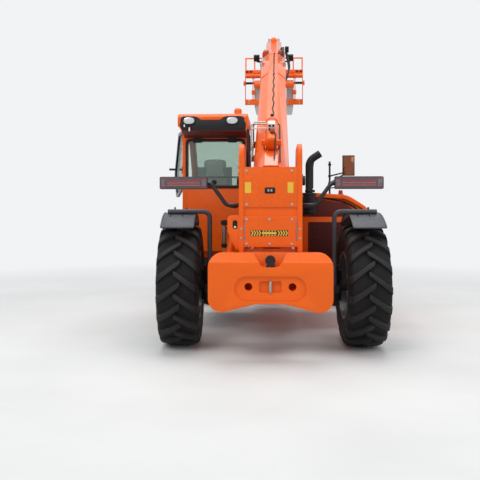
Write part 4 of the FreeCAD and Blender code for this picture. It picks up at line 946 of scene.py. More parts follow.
class Tower:
    """Bolts, blank plates, warning strip, latch and small fittings of the tower."""

    face = -0.598
    gusset_face = -0.588

    def build(self) -> None:
        """Make the tower's small pieces."""
        bolts = Shape()
        for x in (-0.205, 0.183):
            for z in (1.350, 1.640):
                bolts.bolt((x, self.face, z), (0, -1, 0), 0.0085)
        for x in (-0.205, -0.010, 0.183):
            for z in (1.010, 1.222):
                bolts.bolt((x, self.face, z), (0, -1, 0), 0.0085)
        for x in (-0.253, 0.253):
            for z in (1.060, 1.140):
                bolts.bolt((x, -0.6002, z), (0, -1, 0), 0.007)
        bolts.done("tower_bolts", STEEL, "chassis")
        plates = Shape()
        for x0, x1 in ((-0.221, -0.168), (0.146, 0.196)):
            plates.prism(oblong(x0, 1.451, x1, 1.543, 0.004, 3), "Y", self.face - 0.0011, self.face - 0.0001)
        plates.done("blank_yellow_plates", YELLOW, "chassis")
        self.strip()
        self.latch()
        self.cleats()

    def strip(self) -> None:
        """Black and yellow warning strip: arrows at both ends, wedges between."""
        x0, x1, z0, z1 = -0.172, 0.150, 1.079, 1.131
        back = Shape().box((x0, self.face - 0.0008, z0), (x1, self.face - 0.0001, z1))
        back.done("warning_strip_black", STRIPE_BLACK, "chassis")
        marks = Shape()
        low, high = self.face - 0.0014, self.face - 0.0009
        middle = (z0 + z1) / 2
        for start in (x0 + 0.003, x1 - 0.091):
            for k in range(4):
                a = start + k * 0.022
                marks.prism([(a, z0 + 0.003), (a + 0.011, z0 + 0.003), (a + 0.023, middle),
                             (a + 0.011, z1 - 0.003), (a, z1 - 0.003), (a + 0.012, middle)], "Y", low, high)
        left, right = x0 + 0.098, x1 - 0.098
        marks.box((left, low, middle - 0.009), (right, high, middle + 0.009))
        count = 5
        width = (right - left) / count
        for k in range(count):
            a = left + k * width
            for z, tip in ((z0 + 0.003, middle - 0.010), (z1 - 0.003, middle + 0.010)):
                marks.prism([(a + 0.002, z), (a + width - 0.002, z), (a + width / 2, tip)], "Y", low, high)
        marks.done("warning_strip_yellow", YELLOW, "chassis")

    def latch(self) -> None:
        """Black latch in the middle of the upper cover."""
        body = Shape().prism(oblong(-0.040, 1.452, 0.030, 1.492, 0.006), "Y", self.face - 0.010,
                             self.face - 0.0001)
        body.prism(oblong(-0.050, 1.446, 0.040, 1.498, 0.009), "Y", self.face - 0.004, self.face - 0.0001)
        body.done("cover_latch", PLASTIC, "chassis", 0.0015)
        slots = Shape()
        for x in (-0.026, 0.000):
            slots.prism(oblong(x, 1.462, x + 0.016, 1.482, 0.004, 3), "Y", self.face - 0.0125,
                        self.face - 0.0095)
        slots.done("latch_paddles", STEEL, "chassis", 0.001)

    def cleats(self) -> None:
        """Plug and cleats of the cheeks, painted shade filling the gusset slot, its stud, hose guide and pin
        keepers.
        """
        plug = Shape().lathe([(0, 0.026), (0.010, 0.026), (0.014, 0.022), (0.016, 0.008)],
                             (0.2732, -0.15, 1.56), (1, 0, 0), 28)
        plug.done("cheek_plug", PLASTIC, "chassis")
        cleat = Shape()
        for z in (1.615, 1.675):
            cleat.prism(rounded([(-0.298, z, 0.006), (-0.298, z + 0.030, 0.006), (-0.2732, z + 0.030),
                                 (-0.2732, z)]), "Y", -0.33, -0.27)
        cleat.done("cheek_cleats", ORANGE, "chassis", 0.002)
        # Dark filled oblong in the gusset's slot: painted shade of the hole.
        slot = Shape().prism(oblong(-0.328, 1.137, -0.284, 1.217, 0.021), "Y", self.gusset_face - 0.0015,
                             self.gusset_face + 0.004)
        slot.done("gusset_slot_edge", SOOT, "chassis", 0.001)
        stud = Shape().lathe([(0, 0.010), (0.003, 0.010), (0.005, 0.006)],
                             (-0.306, self.gusset_face - 0.0014, 1.156), (0, -1, 0), 16)
        stud.done("gusset_stud", WHITE, "chassis")
        foot = (-0.2165, -0.100, 1.690)
        guide = Shape().tube([foot, (-0.2165, -0.090, 1.900), (-0.2165, -0.060, 2.060)], 0.012, 0.05)
        guide.lathe([(0, 0.0155), (0.200, 0.0155), (0.205, 0.0125)], foot, (0, 0.05, 1.0), 20)
        guide.done("hose_guide", SOOT, "chassis")
        keepers = Shape()
        for side in (-1, 1):
            keepers.prism(oblong(-0.27, 1.605, -0.13, 1.635, 0.012), "X", side * 0.2735, side * 0.2815)
            keepers.bolt((side * 0.2812, -0.250, 1.620), (side, 0, 0), 0.010)
            keepers.bolt((side * 0.2812, -0.150, 1.620), (side, 0, 0), 0.010)
        keepers.done("pin_keepers", STEEL, "chassis", 0.001)


class Counterweight:
    """Small pieces on the cast counterweight."""

    def build(self) -> None:
        """Make the tow eye's ring and centre and the pin's collars."""
        ring = Shape()
        ring.lathe([(0, 0.040), (0.006, 0.043), (0.014, 0.043), (0.020, 0.040), (0.020, 0.024),
                    (0.012, 0.022), (0.0, 0.024)], (0, -0.778, 0.884), (0, 1, 0), 40, looped=True)
        ring.prism(oblong(-0.038, 0.826, 0.038, 0.846, 0.008), "Y", -0.776, -0.720)
        ring.done("tow_eye_ring", IRON, "chassis", 0.001)
        centre = Shape().lathe([(0, 0.022), (0.004, 0.021), (0.006, 0.012)], (0, -0.759, 0.884), (0, -1, 0),
                               28)
        centre.done("tow_eye_centre", DEEP_RED, "chassis")
        collar = Shape()
        for z in (0.6135, 0.7015):
            collar.lathe([(0, 0.017), (0.006, 0.017)], (0, -0.750, z), (0, 0, 1), 24)
        collar.lathe([(0, 0.0127), (0.080, 0.0127)], (0, -0.750, 0.6205), (0, 0, 1), 28)
        collar.done("tow_pin_collars", STEEL, "chassis", 0.001)


class Cab:
    """Visor lamps, window seals, controls, seat, roof pane seal and beacon of the cab."""

    lamp_z = 2.216
    lamps = (("left", -0.849), ("right", -0.404))
    floor_z = 0.902
    beacon_at: Point = (-0.358, 0.750, 2.297)

    def build(self) -> None:
        """Make the cab's pieces."""
        self.visor()
        self.rear_window()
        self.side_seals()
        self.steering()
        self.seat()
        self.roof()

    def visor(self) -> None:
        """Black rear panel of the roof with two oval lamps."""
        outline = rounded([(-0.912, 2.136), (-0.938, 2.190), (-0.938, 2.258, 0.03), (-0.770, 2.258, 0.04),
                           (-0.728, 2.224, 0.04), (-0.528, 2.224, 0.04), (-0.486, 2.258, 0.04),
                           (-0.279, 2.258, 0.03), (-0.279, 2.136, 0.02)])
        panel = Shape().prism(outline, "Y", 0.5117, 0.5217)
        panel.prism(rounded([(-0.921, 2.1125), (-0.948, 2.172, 0.02), (-0.920, 2.262, 0.03),
                             (-0.790, 2.262, 0.04), (-0.735, 2.218, 0.05), (-0.520, 2.218, 0.05),
                             (-0.466, 2.262, 0.04), (-0.300, 2.262, 0.04), (-0.262, 2.180, 0.03),
                             (-0.268, 2.1125)], 8), "Y", 0.5080, 0.5098)
        panel = panel.done("visor_panel", PLASTIC, "chassis", 0.0008)
        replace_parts(panel, "cab_visor")
        # Dark red sheet under the visor: painted shade on its underside.
        underside_shade = Shape()
        underside_shade.skin([[(x, 0.5105, 2.1115), (x, 0.5105, 2.1080), (x, 0.8000, 2.0665), (x, 0.8000, 2.0700)]
                     for x in (-0.930, -0.262)])
        underside_shade.done("visor_lining", RED_PAINTED_SHADE, "chassis", 0.001)
        plugs = Shape()
        plugs.prism(oblong(-0.903, 2.150, -0.890, 2.176, 0.004), "Y", 0.498, 0.508)
        plugs.prism(oblong(-0.852, 2.106, -0.837, 2.146, 0.004), "Y", 0.498, 0.508)
        plugs.done("visor_lamp_plugs", WHITE, "chassis", 0.001)
        for name, x in self.lamps:
            ring = Shape().ring_plate(self.oval(x, 0.064, 0.042), self.oval(x, 0.055, 0.034), 0.4960, 0.5085)
            ring.done("visor_lamp_ring_" + name, PLASTIC, "chassis", 0.0015)
            lens = Shape()
            rings = []
            for inset, y in ((0.0, 0.5078), (0.0, 0.4990), (0.006, 0.4965), (0.024, 0.4955)):
                rings.append([(a, y, b) for a, b in self.oval(x, 0.0555 - inset, max(0.0345 - inset, 0.004))])
            lens.skin(rings)
            lens.done("visor_lamp_lens_" + name, WHITE_LENS, "chassis")
            rays = Shape()
            for k in range(-5, 6):
                rise = 0.028 * math.sqrt(max(0.05, 1 - (k * 0.009 / 0.053) ** 2))
                rays.box((x + k * 0.009 - 0.0010, 0.4949, self.lamp_z - rise),
                         (x + k * 0.009 + 0.0010, 0.4965, self.lamp_z + rise))
            rays.done("visor_lamp_ribs_" + name, STEEL, "chassis")
        lamp = Shape()
        for x in (-0.862, -0.836):
            lamp.tube([(x, 0.507, 2.176), (x, 0.500, 2.150), (x, 0.506, 2.118)], 0.004, 0.01)
        lamp.done("visor_lamp_wires", RUBBER, "chassis")

    @staticmethod
    def oval(x: float, half: float, rise: float) -> list:
        """Flattened oval round a lamp's centre, as an outline."""
        points = []
        for k in range(40):
            a = 2 * math.pi * k / 40
            c, w = math.cos(a), math.sin(a)
            points.append((x + half * math.copysign(abs(c) ** 0.85, c),
                           Cab.lamp_z + rise * math.copysign(abs(w) ** 0.85, w)))
        return points

    def rear_window(self) -> None:
        """Seal, hinge blocks, knob and bar of the rear window."""
        outer = oblong(-0.926, 1.530, -0.285, 2.058, 0.046)
        inner = oblong(-0.902, 1.556, -0.309, 2.032, 0.030)
        Shape().ring_plate(outer, inner, 0.8075, 0.8195).done("rear_window_seal", RUBBER, "chassis", 0.003)
        blocks = Shape()
        for x in (-0.795, -0.421):
            blocks.prism(rounded([(x - 0.052, 2.016, 0.012), (x - 0.040, 2.082, 0.012),
                                  (x + 0.040, 2.082, 0.012), (x + 0.052, 2.016, 0.012)]), "Y", 0.786, 0.8070)
            blocks.tube([(x - 0.046, 0.796, 2.078), (x + 0.046, 0.796, 2.078)], 0.010)
        blocks.done("rear_window_hinges", PLASTIC, "chassis", 0.003)
        knob = Shape().lathe([(0, 0.020), (0.012, 0.018), (0.016, 0.026), (0.034, 0.026), (0.040, 0.020)],
                             (-0.616, 0.8140, 1.592), (0, -1, 0), 28)
        knob.done("rear_window_knob", PLASTIC, "chassis")
        bar = Shape().tube([(-0.690, 0.8500, 1.648), (-0.362, 0.8500, 1.648)], 0.009)
        bar.done("rear_window_bar", PLASTIC, "chassis")

    def side_seals(self) -> None:
        """Seal of the right window."""
        right = Shape()
        outer = rounded([(0.902, 1.472, 0.05), (0.902, 2.138, 0.05), (1.346, 2.138, 0.05),
                         (1.800, 1.472, 0.05)])
        inner = rounded([(0.922, 1.492, 0.04), (0.922, 2.118, 0.04), (1.334, 2.118, 0.04),
                         (1.762, 1.492, 0.04)])
        rings = []
        for (a, b), (p, q) in zip(outer, inner):
            rings.append([(-0.2568, a, b), (-0.2500, a, b), (-0.2500, p, q), (-0.2568, p, q)])
        right.skin(rings, looped=True)
        right.done("right_window_seal", RUBBER, "chassis", 0.002)

    def steering(self) -> None:
        """Column, ringed steering wheel with spokes, levers and dash."""
        hub = Vector((-0.615, 1.5965, 1.5335))
        axis = Vector((0, -0.256, 0.967)).normalized()
        turn = Matrix.Translation(MACHINE @ hub) @ axis.to_track_quat("Z", "Y").to_matrix().to_4x4()
        wheel = Shape(turn)
        rings = []
        for k in range(48):
            a = 2 * math.pi * k / 48
            ring = []
            for j in range(10):
                b = 2 * math.pi * j / 10
                r = 0.170 + 0.0145 * math.cos(b)
                ring.append((r * math.cos(a), r * math.sin(a), 0.010 + 0.0145 * math.sin(b)))
            rings.append(ring)
        wheel.skin(rings, looped=True)
        for degrees in (30, 150, 270):
            a = math.radians(degrees)
            wheel.tube([(0.03 * math.cos(a), 0.03 * math.sin(a), -0.004),
                        (0.165 * math.cos(a), 0.165 * math.sin(a), 0.010)], 0.009)
        wheel.lathe([(-0.014, 0.040), (0.004, 0.046), (0.014, 0.040), (0.018, 0.020)], (0, 0, 0), (0, 0, 1),
                    28)
        piece = wheel.done("steering_wheel", PLASTIC, "chassis")
        column = Shape()
        column.lathe([(0, 0.070), (0.10, 0.060), (0.30, 0.042), (0.58, 0.036), (0.615, 0.046)],
                     (-0.615, 1.755, 0.90), (0, -0.155, 0.60), 28)
        column.prism(oblong(-0.690, self.floor_z, -0.540, 0.955, 0.02), "Y", 1.690, 1.830)
        column.prism(rounded([(-0.885, self.floor_z, 0.02), (-0.885, 1.225, 0.05), (-0.330, 1.225, 0.05),
                              (-0.330, self.floor_z, 0.02)]), "Y", 1.852, 2.045)
        column.done("column_and_dash", PLASTIC, "chassis", 0.006)
        levers = Shape()
        for x, tilt in ((-0.700, -0.10), (-0.530, 0.10)):
            levers.tube([(-0.615 + tilt * 0.3, 1.615, 1.470), (x, 1.600, 1.500)], 0.005)
            levers.lathe([(0, 0.006), (0.010, 0.011), (0.040, 0.011), (0.048, 0.006)], (x, 1.600, 1.500),
                         (tilt, -0.02, 0.03), 14)
        levers.tube([(-0.395, 1.240, 1.200), (-0.390, 1.300, 1.440)], 0.008)
        levers.lathe([(0, 0.012), (0.02, 0.022), (0.07, 0.026), (0.10, 0.020), (0.108, 0.008)],
                     (-0.390, 1.300, 1.430), (0.01, 0.05, 0.2), 20)
        levers.prism(rounded([(1.120, self.floor_z, 0.01), (1.120, 1.200, 0.03), (1.330, 1.230, 0.03),
                              (1.330, self.floor_z, 0.01)]), "X", -0.432, -0.352)
        levers.done("levers_and_console", PLASTIC, "chassis", 0.004)
        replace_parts(piece, "cab_controls")

    def seat(self) -> None:
        """Stuffed seat and back, the shell behind the back, and the belt buckles."""
        padding = Padding()
        pads = [padding.form("seat_cushion", (-0.855, 0.950, 1.2503), (-0.375, 1.425, 1.360), 0.0,
                             ((-0.843, 1.2525), (-0.843, 1.348), (-0.387, 1.348), (-0.387, 1.2525))),
                padding.form("back_cushion", (-0.832, 0.905, 1.3800), (-0.398, 1.000, 1.870), -0.060,
                             ((-0.795, 1.392), (-0.818, 1.480), (-0.805, 1.600), (-0.755, 1.700),
                              (-0.735, 1.850), (-0.495, 1.850), (-0.475, 1.700), (-0.425, 1.600),
                              (-0.412, 1.480), (-0.435, 1.392)))]
        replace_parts(pads[0], "seat_cushions")
        # Shell coloured grey-green as painted reflection of the window glass.
        shell = Shape()
        shell.prism(rounded([(0.915, 1.262), (0.890, 1.375, 0.05), (0.848, 1.750, 0.02), (0.862, 1.765, 0.01),
                             (0.895, 1.400, 0.05), (0.935, 1.262)]), "X", -0.800, -0.430)
        shell.done("seat_back_shell", SHELL_PAINTED_REFLECTION, "chassis", 0.004)
        belts = Shape()
        for x in (-0.872, -0.358):
            belts.prism(rounded([(x - 0.012, 1.270, 0.004), (x - 0.012, 1.400, 0.010),
                                 (x + 0.012, 1.400, 0.010), (x + 0.012, 1.270, 0.004)]), "Y", 1.000, 1.045)
        belts.done("belt_buckles", PLASTIC, "chassis", 0.003)

    def roof(self) -> None:
        """Seal of the roof pane, and the beacon with its foot."""
        outer = oblong(-0.870, 0.900, -0.347, 1.360, 0.03)
        inner = oblong(-0.850, 0.920, -0.367, 1.340, 0.02)
        seal = Shape()
        rings = []
        for (a, b), (p, q) in zip(outer, inner):
            rings.append([(a, b, 2.2972), (a, b, 2.3080), (p, q, 2.3080), (p, q, 2.3025)])
        seal.skin(rings, looped=True)
        seal.done("roof_pane_seal", RUBBER, "chassis", 0.002)
        dome = Shape()
        dome.lathe([(0.014, 0.040), (0.060, 0.039), (0.074, 0.030), (0.078, 0.010)], self.beacon_at,
                   (0, 0, 1), 36)
        for k in range(6):
            dome.lathe([(0.018 + 0.007 * k, 0.0405), (0.0205 + 0.007 * k, 0.0418),
                        (0.023 + 0.007 * k, 0.0405)], self.beacon_at, (0, 0, 1), 36)
        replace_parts(dome.done("beacon_dome", AMBER, "chassis"), "beacon")
        foot = Shape().lathe([(0, 0.042), (0.012, 0.042), (0.016, 0.038)], self.beacon_at, (0, 0, 1),
                             32)
        foot.done("beacon_foot", PLASTIC, "chassis")


class Padding:
    """Makes stuffed pads by inflating a closed form as cloth, then presses in their channels."""

    pressure = 4.0
    cap = 0.026
    steps = 20
    fine_voxel = 0.006
    coarse_voxel = 0.009

    def form(self, name: str, low: Point, high: Point, lean: float, outline: Sequence) -> bpy.types.Object:
        """Build one pad between two corners.

        Args:
            name: Piece name.
            low: Lowest corner.
            high: Highest corner.
            lean: How far the top edge moves back or forward.
            outline: Rear view of the pad, as corner points.

        Returns:
            The finished pad.
        """
        shape = Shape(Matrix.Identity(4))
        corners = [(*corner, 0.045) for corner in outline]
        shape.prism(rounded(corners), "Y", low[1] + 0.012, high[1] - 0.012)
        mesh = shape.mesh(name, 0.016)
        height = high[2] - low[2]
        for vertex in mesh.vertices:
            vertex.co.y += lean * (vertex.co.z - low[2]) / height
        pad = bpy.data.objects.new(name, mesh)
        bpy.context.scene.collection.objects.link(pad)
        remesh = pad.modifiers.new("Even", "REMESH")
        remesh.mode = "VOXEL"
        remesh.voxel_size = self.fine_voxel
        pad.data = evaluated(pad)
        pad.modifiers.clear()
        self.inflate(pad)
        rounding = pad.modifiers.new("Fine", "SUBSURF")
        rounding.levels = 1
        rounding.render_levels = 1
        pad.data = evaluated(pad)
        pad.modifiers.clear()
        self.channels(pad.data, low, high)
        pad.data.transform(MACHINE)
        smooth(pad.data, 60.0)
        pad.data.materials.clear()
        # Pad colour is a pale cover, lightened and tinted as painted reflection.
        pad.data.materials.append(PAINT.get(FABRIC_PAINTED_REFLECTION))
        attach(pad, "chassis")
        return pad

    def inflate(self, pad: bpy.types.Object) -> None:
        """Blow the pad up as cloth, and cap how far each point moves."""
        rest = [v.co.copy() for v in pad.data.vertices]
        cloth = pad.modifiers.new("Inflated", "CLOTH")
        cloth.settings.use_pressure = True
        cloth.settings.uniform_pressure_force = self.pressure
        cloth.settings.effector_weights.gravity = 0.0
        scene = bpy.context.scene
        for step in range(1, self.steps + 1):
            scene.frame_set(step)
        mesh = evaluated(pad)
        pad.modifiers.clear()
        scene.frame_set(1)
        for vertex, home in zip(mesh.vertices, rest):
            move = vertex.co - home
            if move.length > self.cap:
                vertex.co = home + move.normalized() * self.cap
        pad.data = mesh

    @staticmethod
    def channels(mesh: bpy.types.Mesh, low: Point, high: Point) -> None:
        """Press sewn channels into the pad, across its width."""
        tall = high[2] - low[2]
        deep = high[1] - low[1]
        for vertex in mesh.vertices:
            along = (vertex.co.z - low[2]) / tall if tall > deep else (vertex.co.y - low[1]) / deep
            near = min(abs(along - line) for line in (0.3, 0.55, 0.8))
            fade = max(0.0, 1 - near * max(tall, deep) / 0.010)
            centre = Vector(((low[0] + high[0]) / 2, (low[1] + high[1]) / 2, (low[2] + high[2]) / 2))
            inward = centre - vertex.co
            inward.x = 0
            if inward.length > 1e-6:
                vertex.co += inward.normalized() * 0.005 * fade


class EnginePod:
    """Rear grille, cap, latches, louvres and exhaust trim of the engine side."""

    seal_d = 0.8300
    seal_line = ((0.322, 1.441), (0.430, 1.434), (0.560, 1.424), (0.790, 1.378), (0.900, 1.312),
                 (0.950, 1.262), (0.985, 1.190))
    exhaust_d = 0.600

    def build(self) -> None:
        """Make the pod's pieces."""
        self.grille()
        fuel = Shape()
        fuel.lathe([(0, 0.034), (0.020, 0.034), (0.026, 0.024), (0.060, 0.022), (0.066, 0.016)],
                   (0.746, 1.0, 1.4450), (0, 0, 1), 28)
        fuel.done("hood_cap", DEEP_RED, "hood")
        latch = Shape()
        for d in (1.15, 1.80):
            latch.prism(oblong(d - 0.045, 1.012, d + 0.045, 1.060, 0.010), "X", 1.0495, 1.0560)
        latch.done("hood_latches", PLASTIC, "hood", 0.002)
        self.louvres()
        self.exhaust()

    def grille(self) -> None:
        """Framed perforated sheet at the rear of the pod, dark red as painted shade, with the upper sheet
        above it in painted shade.
        """
        # Grille sheet coloured dark red: painted shade on the orange sheet.
        panel = Shape().prism(rounded([(0.386, 0.662, 0.02), (0.386, 1.168, 0.01), (0.962, 1.168, 0.02),
                                       (0.966, 0.720, 0.08), (0.900, 0.662, 0.06)]), "Y", 0.8360, 0.8395)
        panel.done("rear_grille_sheet", GRILLE_PAINTED_SHADE, "chassis", 0.001)
        hole = Shape().lathe([(0, 0.0052), (0.0006, 0.0050)], (0.408, 0.8356, 0.690), (0, -1, 0), 6)
        values = {"Columns": 41, "Rows": 36, "Column step": (0.0132, 0, 0), "Row step": (0.0, 0, 0.0132)}
        ARRAYS.apply("rear_grille_holes", hole.mesh("holes"), ARRAYS.grid, values, HOLLOW, "chassis")
        # Dark red upper sheet: the orange rear panel in shade, as painted shade.
        upper = Shape().prism(rounded([(0.318, 1.225, 0.01), (0.318, 1.432, 0.02), (0.430, 1.424, 0.05),
                                       (0.790, 1.362, 0.14), (0.925, 1.255, 0.06), (0.935, 1.225, 0.01)]),
                              "Y", 0.8372, 0.8395)
        upper.done("rear_upper_sheet", RED_PAINTED_SHADE, "chassis", 0.001)
        seal = Shape().tube([(x, self.seal_d, z) for x, z in self.seal_line], 0.009, 0.06, 10)
        seal.done("hood_seal", RUBBER, "chassis")
        bolts = Shape()
        for x, z in ((0.350, 0.640), (0.350, 1.330), (0.990, 0.760), (0.990, 1.120), (0.670, 0.624)):
            bolts.bolt((x, 0.8398, z), (0, -1, 0), 0.007)
        bolts.done("rear_grille_bolts", STEEL, "chassis")

    def louvres(self) -> None:
        """Slanted air slots on the hood's side."""
        blades = Shape()
        for k in range(9):
            d = 1.02 + 0.085 * k
            blades.skin([[(1.0465, d, z), (1.0545, d + 0.012, z), (1.0545, d + 0.034, z),
                          (1.0465, d + 0.050, z)] for z in (1.075, 1.225)])
        blades.done("hood_louvres", ORANGE, "hood", 0.0015)

    def exhaust(self) -> None:
        """Weld beads, clamp and seam of the exhaust."""
        bands = Shape()
        d = self.exhaust_d
        for z in (1.268, 1.452):
            bands.lathe([(0, 0.0675), (0.004, 0.070), (0.012, 0.070), (0.016, 0.0675)], (0.390, d, z),
                        (0, 0, 1), 40)
        bands.lathe([(0, 0.0385), (0.004, 0.0425), (0.026, 0.0425), (0.030, 0.0385)], (0.386, d, 1.478),
                    (0, 0, 1), 36)
        bands.box((0.424, 0.592, 1.480), (0.446, 0.608, 1.504))
        bands.bolt((0.436, 0.591, 1.492), (0, -1, 0), 0.006)
        bands.done("exhaust_bands", SOOT, "chassis", 0.001)
        rib = Shape().tube([(0.4265, d, 1.520), (0.4265, d, 1.740), (0.4340, d, 1.790)], 0.004, 0.03)
        rib.done("exhaust_seam", SOOT, "chassis")


class Mirror:
    """Mirror case with its glass, and clamps on the stand."""

    def build(self) -> None:
        """Make the mirror's pieces."""
        refine("mirror", PLASTIC, 0.006)
        # The glass's tinted colour is painted reflection.
        glass = Shape().prism(oblong(0.890, 1.730, 1.020, 1.966, 0.018), "Y", 2.1722, 2.1755)
        glass.done("mirror_glass", MIRROR_PAINTED_REFLECTION, "chassis", 0.0006)
        clamps = Shape()
        for z in (1.626, 1.716, 1.860):
            clamps.lathe([(0, 0.019), (0.003, 0.020), (0.021, 0.020), (0.024, 0.019)],
                         (0.718, 2.180, z - 0.012), (0, 0, 1), 20)
        clamps.done("mirror_clamps", PLASTIC, "chassis")


class Boom:
    """Small pieces of the boom, of the cylinder and valve on it, and of the fork carriage."""

    def build(self) -> None:
        """Make the boom's small pieces."""
        self.cylinder()
        self.slots()
        self.valve()
        self.housings()
        self.hoses()
        self.lamps()
        self.cables()
        self.carriage()

    def cables(self) -> None:
        """Wavy cable on the front collar."""
        front = Shape(BOOM)
        path = [(0.018, 3.500, 0.1140), (0.012, 3.600, 0.1150)]
        for k in range(12):
            path.append((0.010 + (0.007 if k % 2 else -0.007), 3.700 + 0.100 * k, 0.1215))
        front.tube(path, 0.0062, 0.05)
        front.done("collar_cable", RUBBER, "boom_outer")

    def carriage(self) -> None:
        """Hook plates, end caps, dark red pocket panels of painted shade, and bolts of the fork carriage."""
        plates = Shape(HEAD)
        caps = Shape(HEAD)
        panels = Shape(HEAD)
        bolts = Shape(HEAD)
        for side in (-1, 1):
            for x in (0.352, 0.372):
                plates.prism(rounded([(0.094, 0.262, 0.01), (0.060, 0.240, 0.02), (0.050, 0.170, 0.04),
                                      (0.066, 0.110, 0.02), (0.078, 0.060, 0.02), (0.060, -0.060, 0.02),
                                      (0.052, -0.150, 0.02), (0.066, -0.248, 0.01), (0.094, -0.248, 0.01)]),
                             "X", side * x - 0.005, side * x + 0.005)
            plates.prism(rounded([(0.062, -0.160, 0.01), (0.056, -0.085, 0.01), (0.094, -0.085),
                                  (0.094, -0.160)]), "X", side * 0.362 - 0.030, side * 0.362 + 0.030)
            plates.lathe([(0, 0.0405), (0.004, 0.0470), (0.050, 0.0470), (0.054, 0.0405)],
                         (side * 0.335, 0.100, 0.172), (side, 0, 0), 32)
            caps.lathe([(0, 0.030), (0.003, 0.045), (0.022, 0.045), (0.026, 0.038), (0.027, 0.012)],
                       (side * 0.5120, 0.130, 0.050), (side, 0, 0), 32)
            # Dark red panels fill the pockets between the rails: painted shade.
            for near, far in ((0.372, 0.430), (0.444, 0.498)):
                panels.prism(oblong(side * near, 0.224, side * far, 0.262, 0.006), "Y", 0.0735, 0.0752)
            for z in (-0.265, -0.312):
                for x in (0.24, 0.44):
                    bolts.bolt((side * x, 0.0948, z), (0, -1, 0), 0.010)
        plates.done("carriage_hooks", ORANGE, "carriage", 0.002)
        caps.done("shaft_end_caps", ORANGE, "carriage")
        panels.done("carriage_pockets", RED_PAINTED_SHADE, "carriage", 0.0008)
        bolts.done("carriage_bolts", STEEL, "carriage")

    def cylinder(self) -> None:
        """Cap, yoke, bolts, gland, small valve, feed pipes and sensor cable of the top cylinder."""
        cap = Shape(BOOM)
        cap.lathe([(0, 0.030), (0.006, 0.052), (0.016, 0.060), (0.044, 0.0645), (0.060, 0.0645)],
                  (0, 0.478, 0.184), (0, 1, 0), 40)
        cap.done("top_cylinder_cap", ORANGE, "boom_outer")
        yoke = Shape(BOOM)
        for side in (-1, 1):
            yoke.prism(rounded([(0.520, 0.107), (0.520, 0.185, 0.03), (0.600, 0.185, 0.03), (0.620, 0.107)]),
                       "X", side * 0.064, side * 0.080)
        yoke.prism(rounded([(0.536, 0.1475), (0.536, 0.165), (0.574, 0.165), (0.574, 0.1475)]), "X", -0.098,
                   0.098)
        yoke.done("top_cylinder_yoke", ORANGE, "boom_outer", 0.002)
        bolt = Shape(BOOM)
        for side in (-1, 1):
            bolt.bolt((side * 0.080, 0.565, 0.150), (side, 0, 0), 0.013)
        bolt.done("top_cylinder_bolts", SOOT, "boom_outer")
        gland = Shape(BOOM)
        gland.lathe([(0, 0.0625), (0.006, 0.0675), (0.040, 0.0675), (0.046, 0.0625)], (0, 1.100, 0.184),
                    (0, 1, 0), 40)
        gland.done("top_cylinder_gland", ORANGE, "boom_outer")
        saddle = Shape(BOOM).prism(rounded([(-0.036, 0.232), (-0.036, 0.312, 0.004), (0.036, 0.312, 0.004),
                                            (0.036, 0.232)]), "Y", 0.720, 0.815)
        saddle.done("cylinder_valve", WHITE, "boom_outer", 0.002)
        ports = Shape(BOOM)
        for x in (-0.018, 0.018):
            for v in (0.254, 0.290):
                ports.lathe([(0, 0.0125), (0.006, 0.0125), (0.006, 0.009), (0.010, 0.009)], (x, 0.720, v),
                            (0, -1, 0), 6)
        ports.done("cylinder_valve_ports", SOOT, "boom_outer")
        cone = Shape(BOOM).lathe([(0, 0.012), (0.010, 0.022), (0.030, 0.026), (0.050, 0.022), (0.060, 0.010)],
                                 (0.008, 0.600, 0.256), (0, 1, 0.35), 24)
        cone.done("cylinder_coupling", COPPER, "boom_outer")
        feed = Shape(BOOM)
        for v, u in ((0.296, 0.770), (0.256, 0.740)):
            feed.tube([(-0.034, u, v), (-0.2055, u, v), (-0.2055, u - 0.01, 0.02)], 0.0065, 0.035)
        feed.done("cylinder_feed_pipes", BRIGHT, "boom_outer")
        hose = Shape(BOOM).tube([(0.020, 0.640, 0.262), (0.046, 0.590, 0.240), (0.040, 0.470, 0.236),
                                 (0.030, 0.400, 0.150), (0.030, 0.250, 0.118)], 0.0065, 0.05)
        hose.done("cylinder_sensor_cable", RUBBER, "boom_outer")

    def slots(self) -> None:
        """Slanted slots on the shoulders of the front collar, drawn as thin dark red strips of painted shade.
        """
        marks = Shape(BOOM)
        for u in (3.94, 4.24, 4.51):
            for side in (-1, 1):
                ring_low = []
                ring_high = []
                for x, along in ((0.072, 0.0), (0.102, 0.030), (0.102, 0.075), (0.072, 0.045)):
                    v = 0.106 - (x - 0.0612) * 0.745 + 0.0078
                    ring_low.append((side * x, u + along, v))
                    ring_high.append((side * x, u + along, v + 0.0022))
                marks.skin([ring_low, ring_high])
        # The slots' dark red is painted shade.
        marks.done("collar_slots", RED_PAINTED_SHADE, "boom_outer")

    def valve(self) -> None:
        """Machined faces, ports and fitting of the valve block on top."""
        block = Shape(BOOM).prism(rounded([(-0.0435, 0.107, 0.004), (-0.0435, 0.2005, 0.006),
                                           (0.0435, 0.2005, 0.006), (0.0435, 0.107, 0.004)]), "Y", 1.171,
                                  1.299)
        block.done("valve_block_machined", WHITE, "boom_outer", 0.002)
        ports = Shape(BOOM)
        for x in (-0.022, 0.022):
            for v in (0.130, 0.176):
                ports.lathe([(0, 0.014), (0.008, 0.014), (0.008, 0.010), (0.018, 0.010)], (x, 1.1712, v),
                            (0, -1, 0), 6)
        ports.lathe([(0, 0.018), (0.020, 0.018), (0.022, 0.015), (0.046, 0.015), (0.048, 0.012)],
                    (0.0, 1.235, 0.2005), (0, 0, 1), 20)
        ports.done("valve_ports", SOOT, "boom_outer")

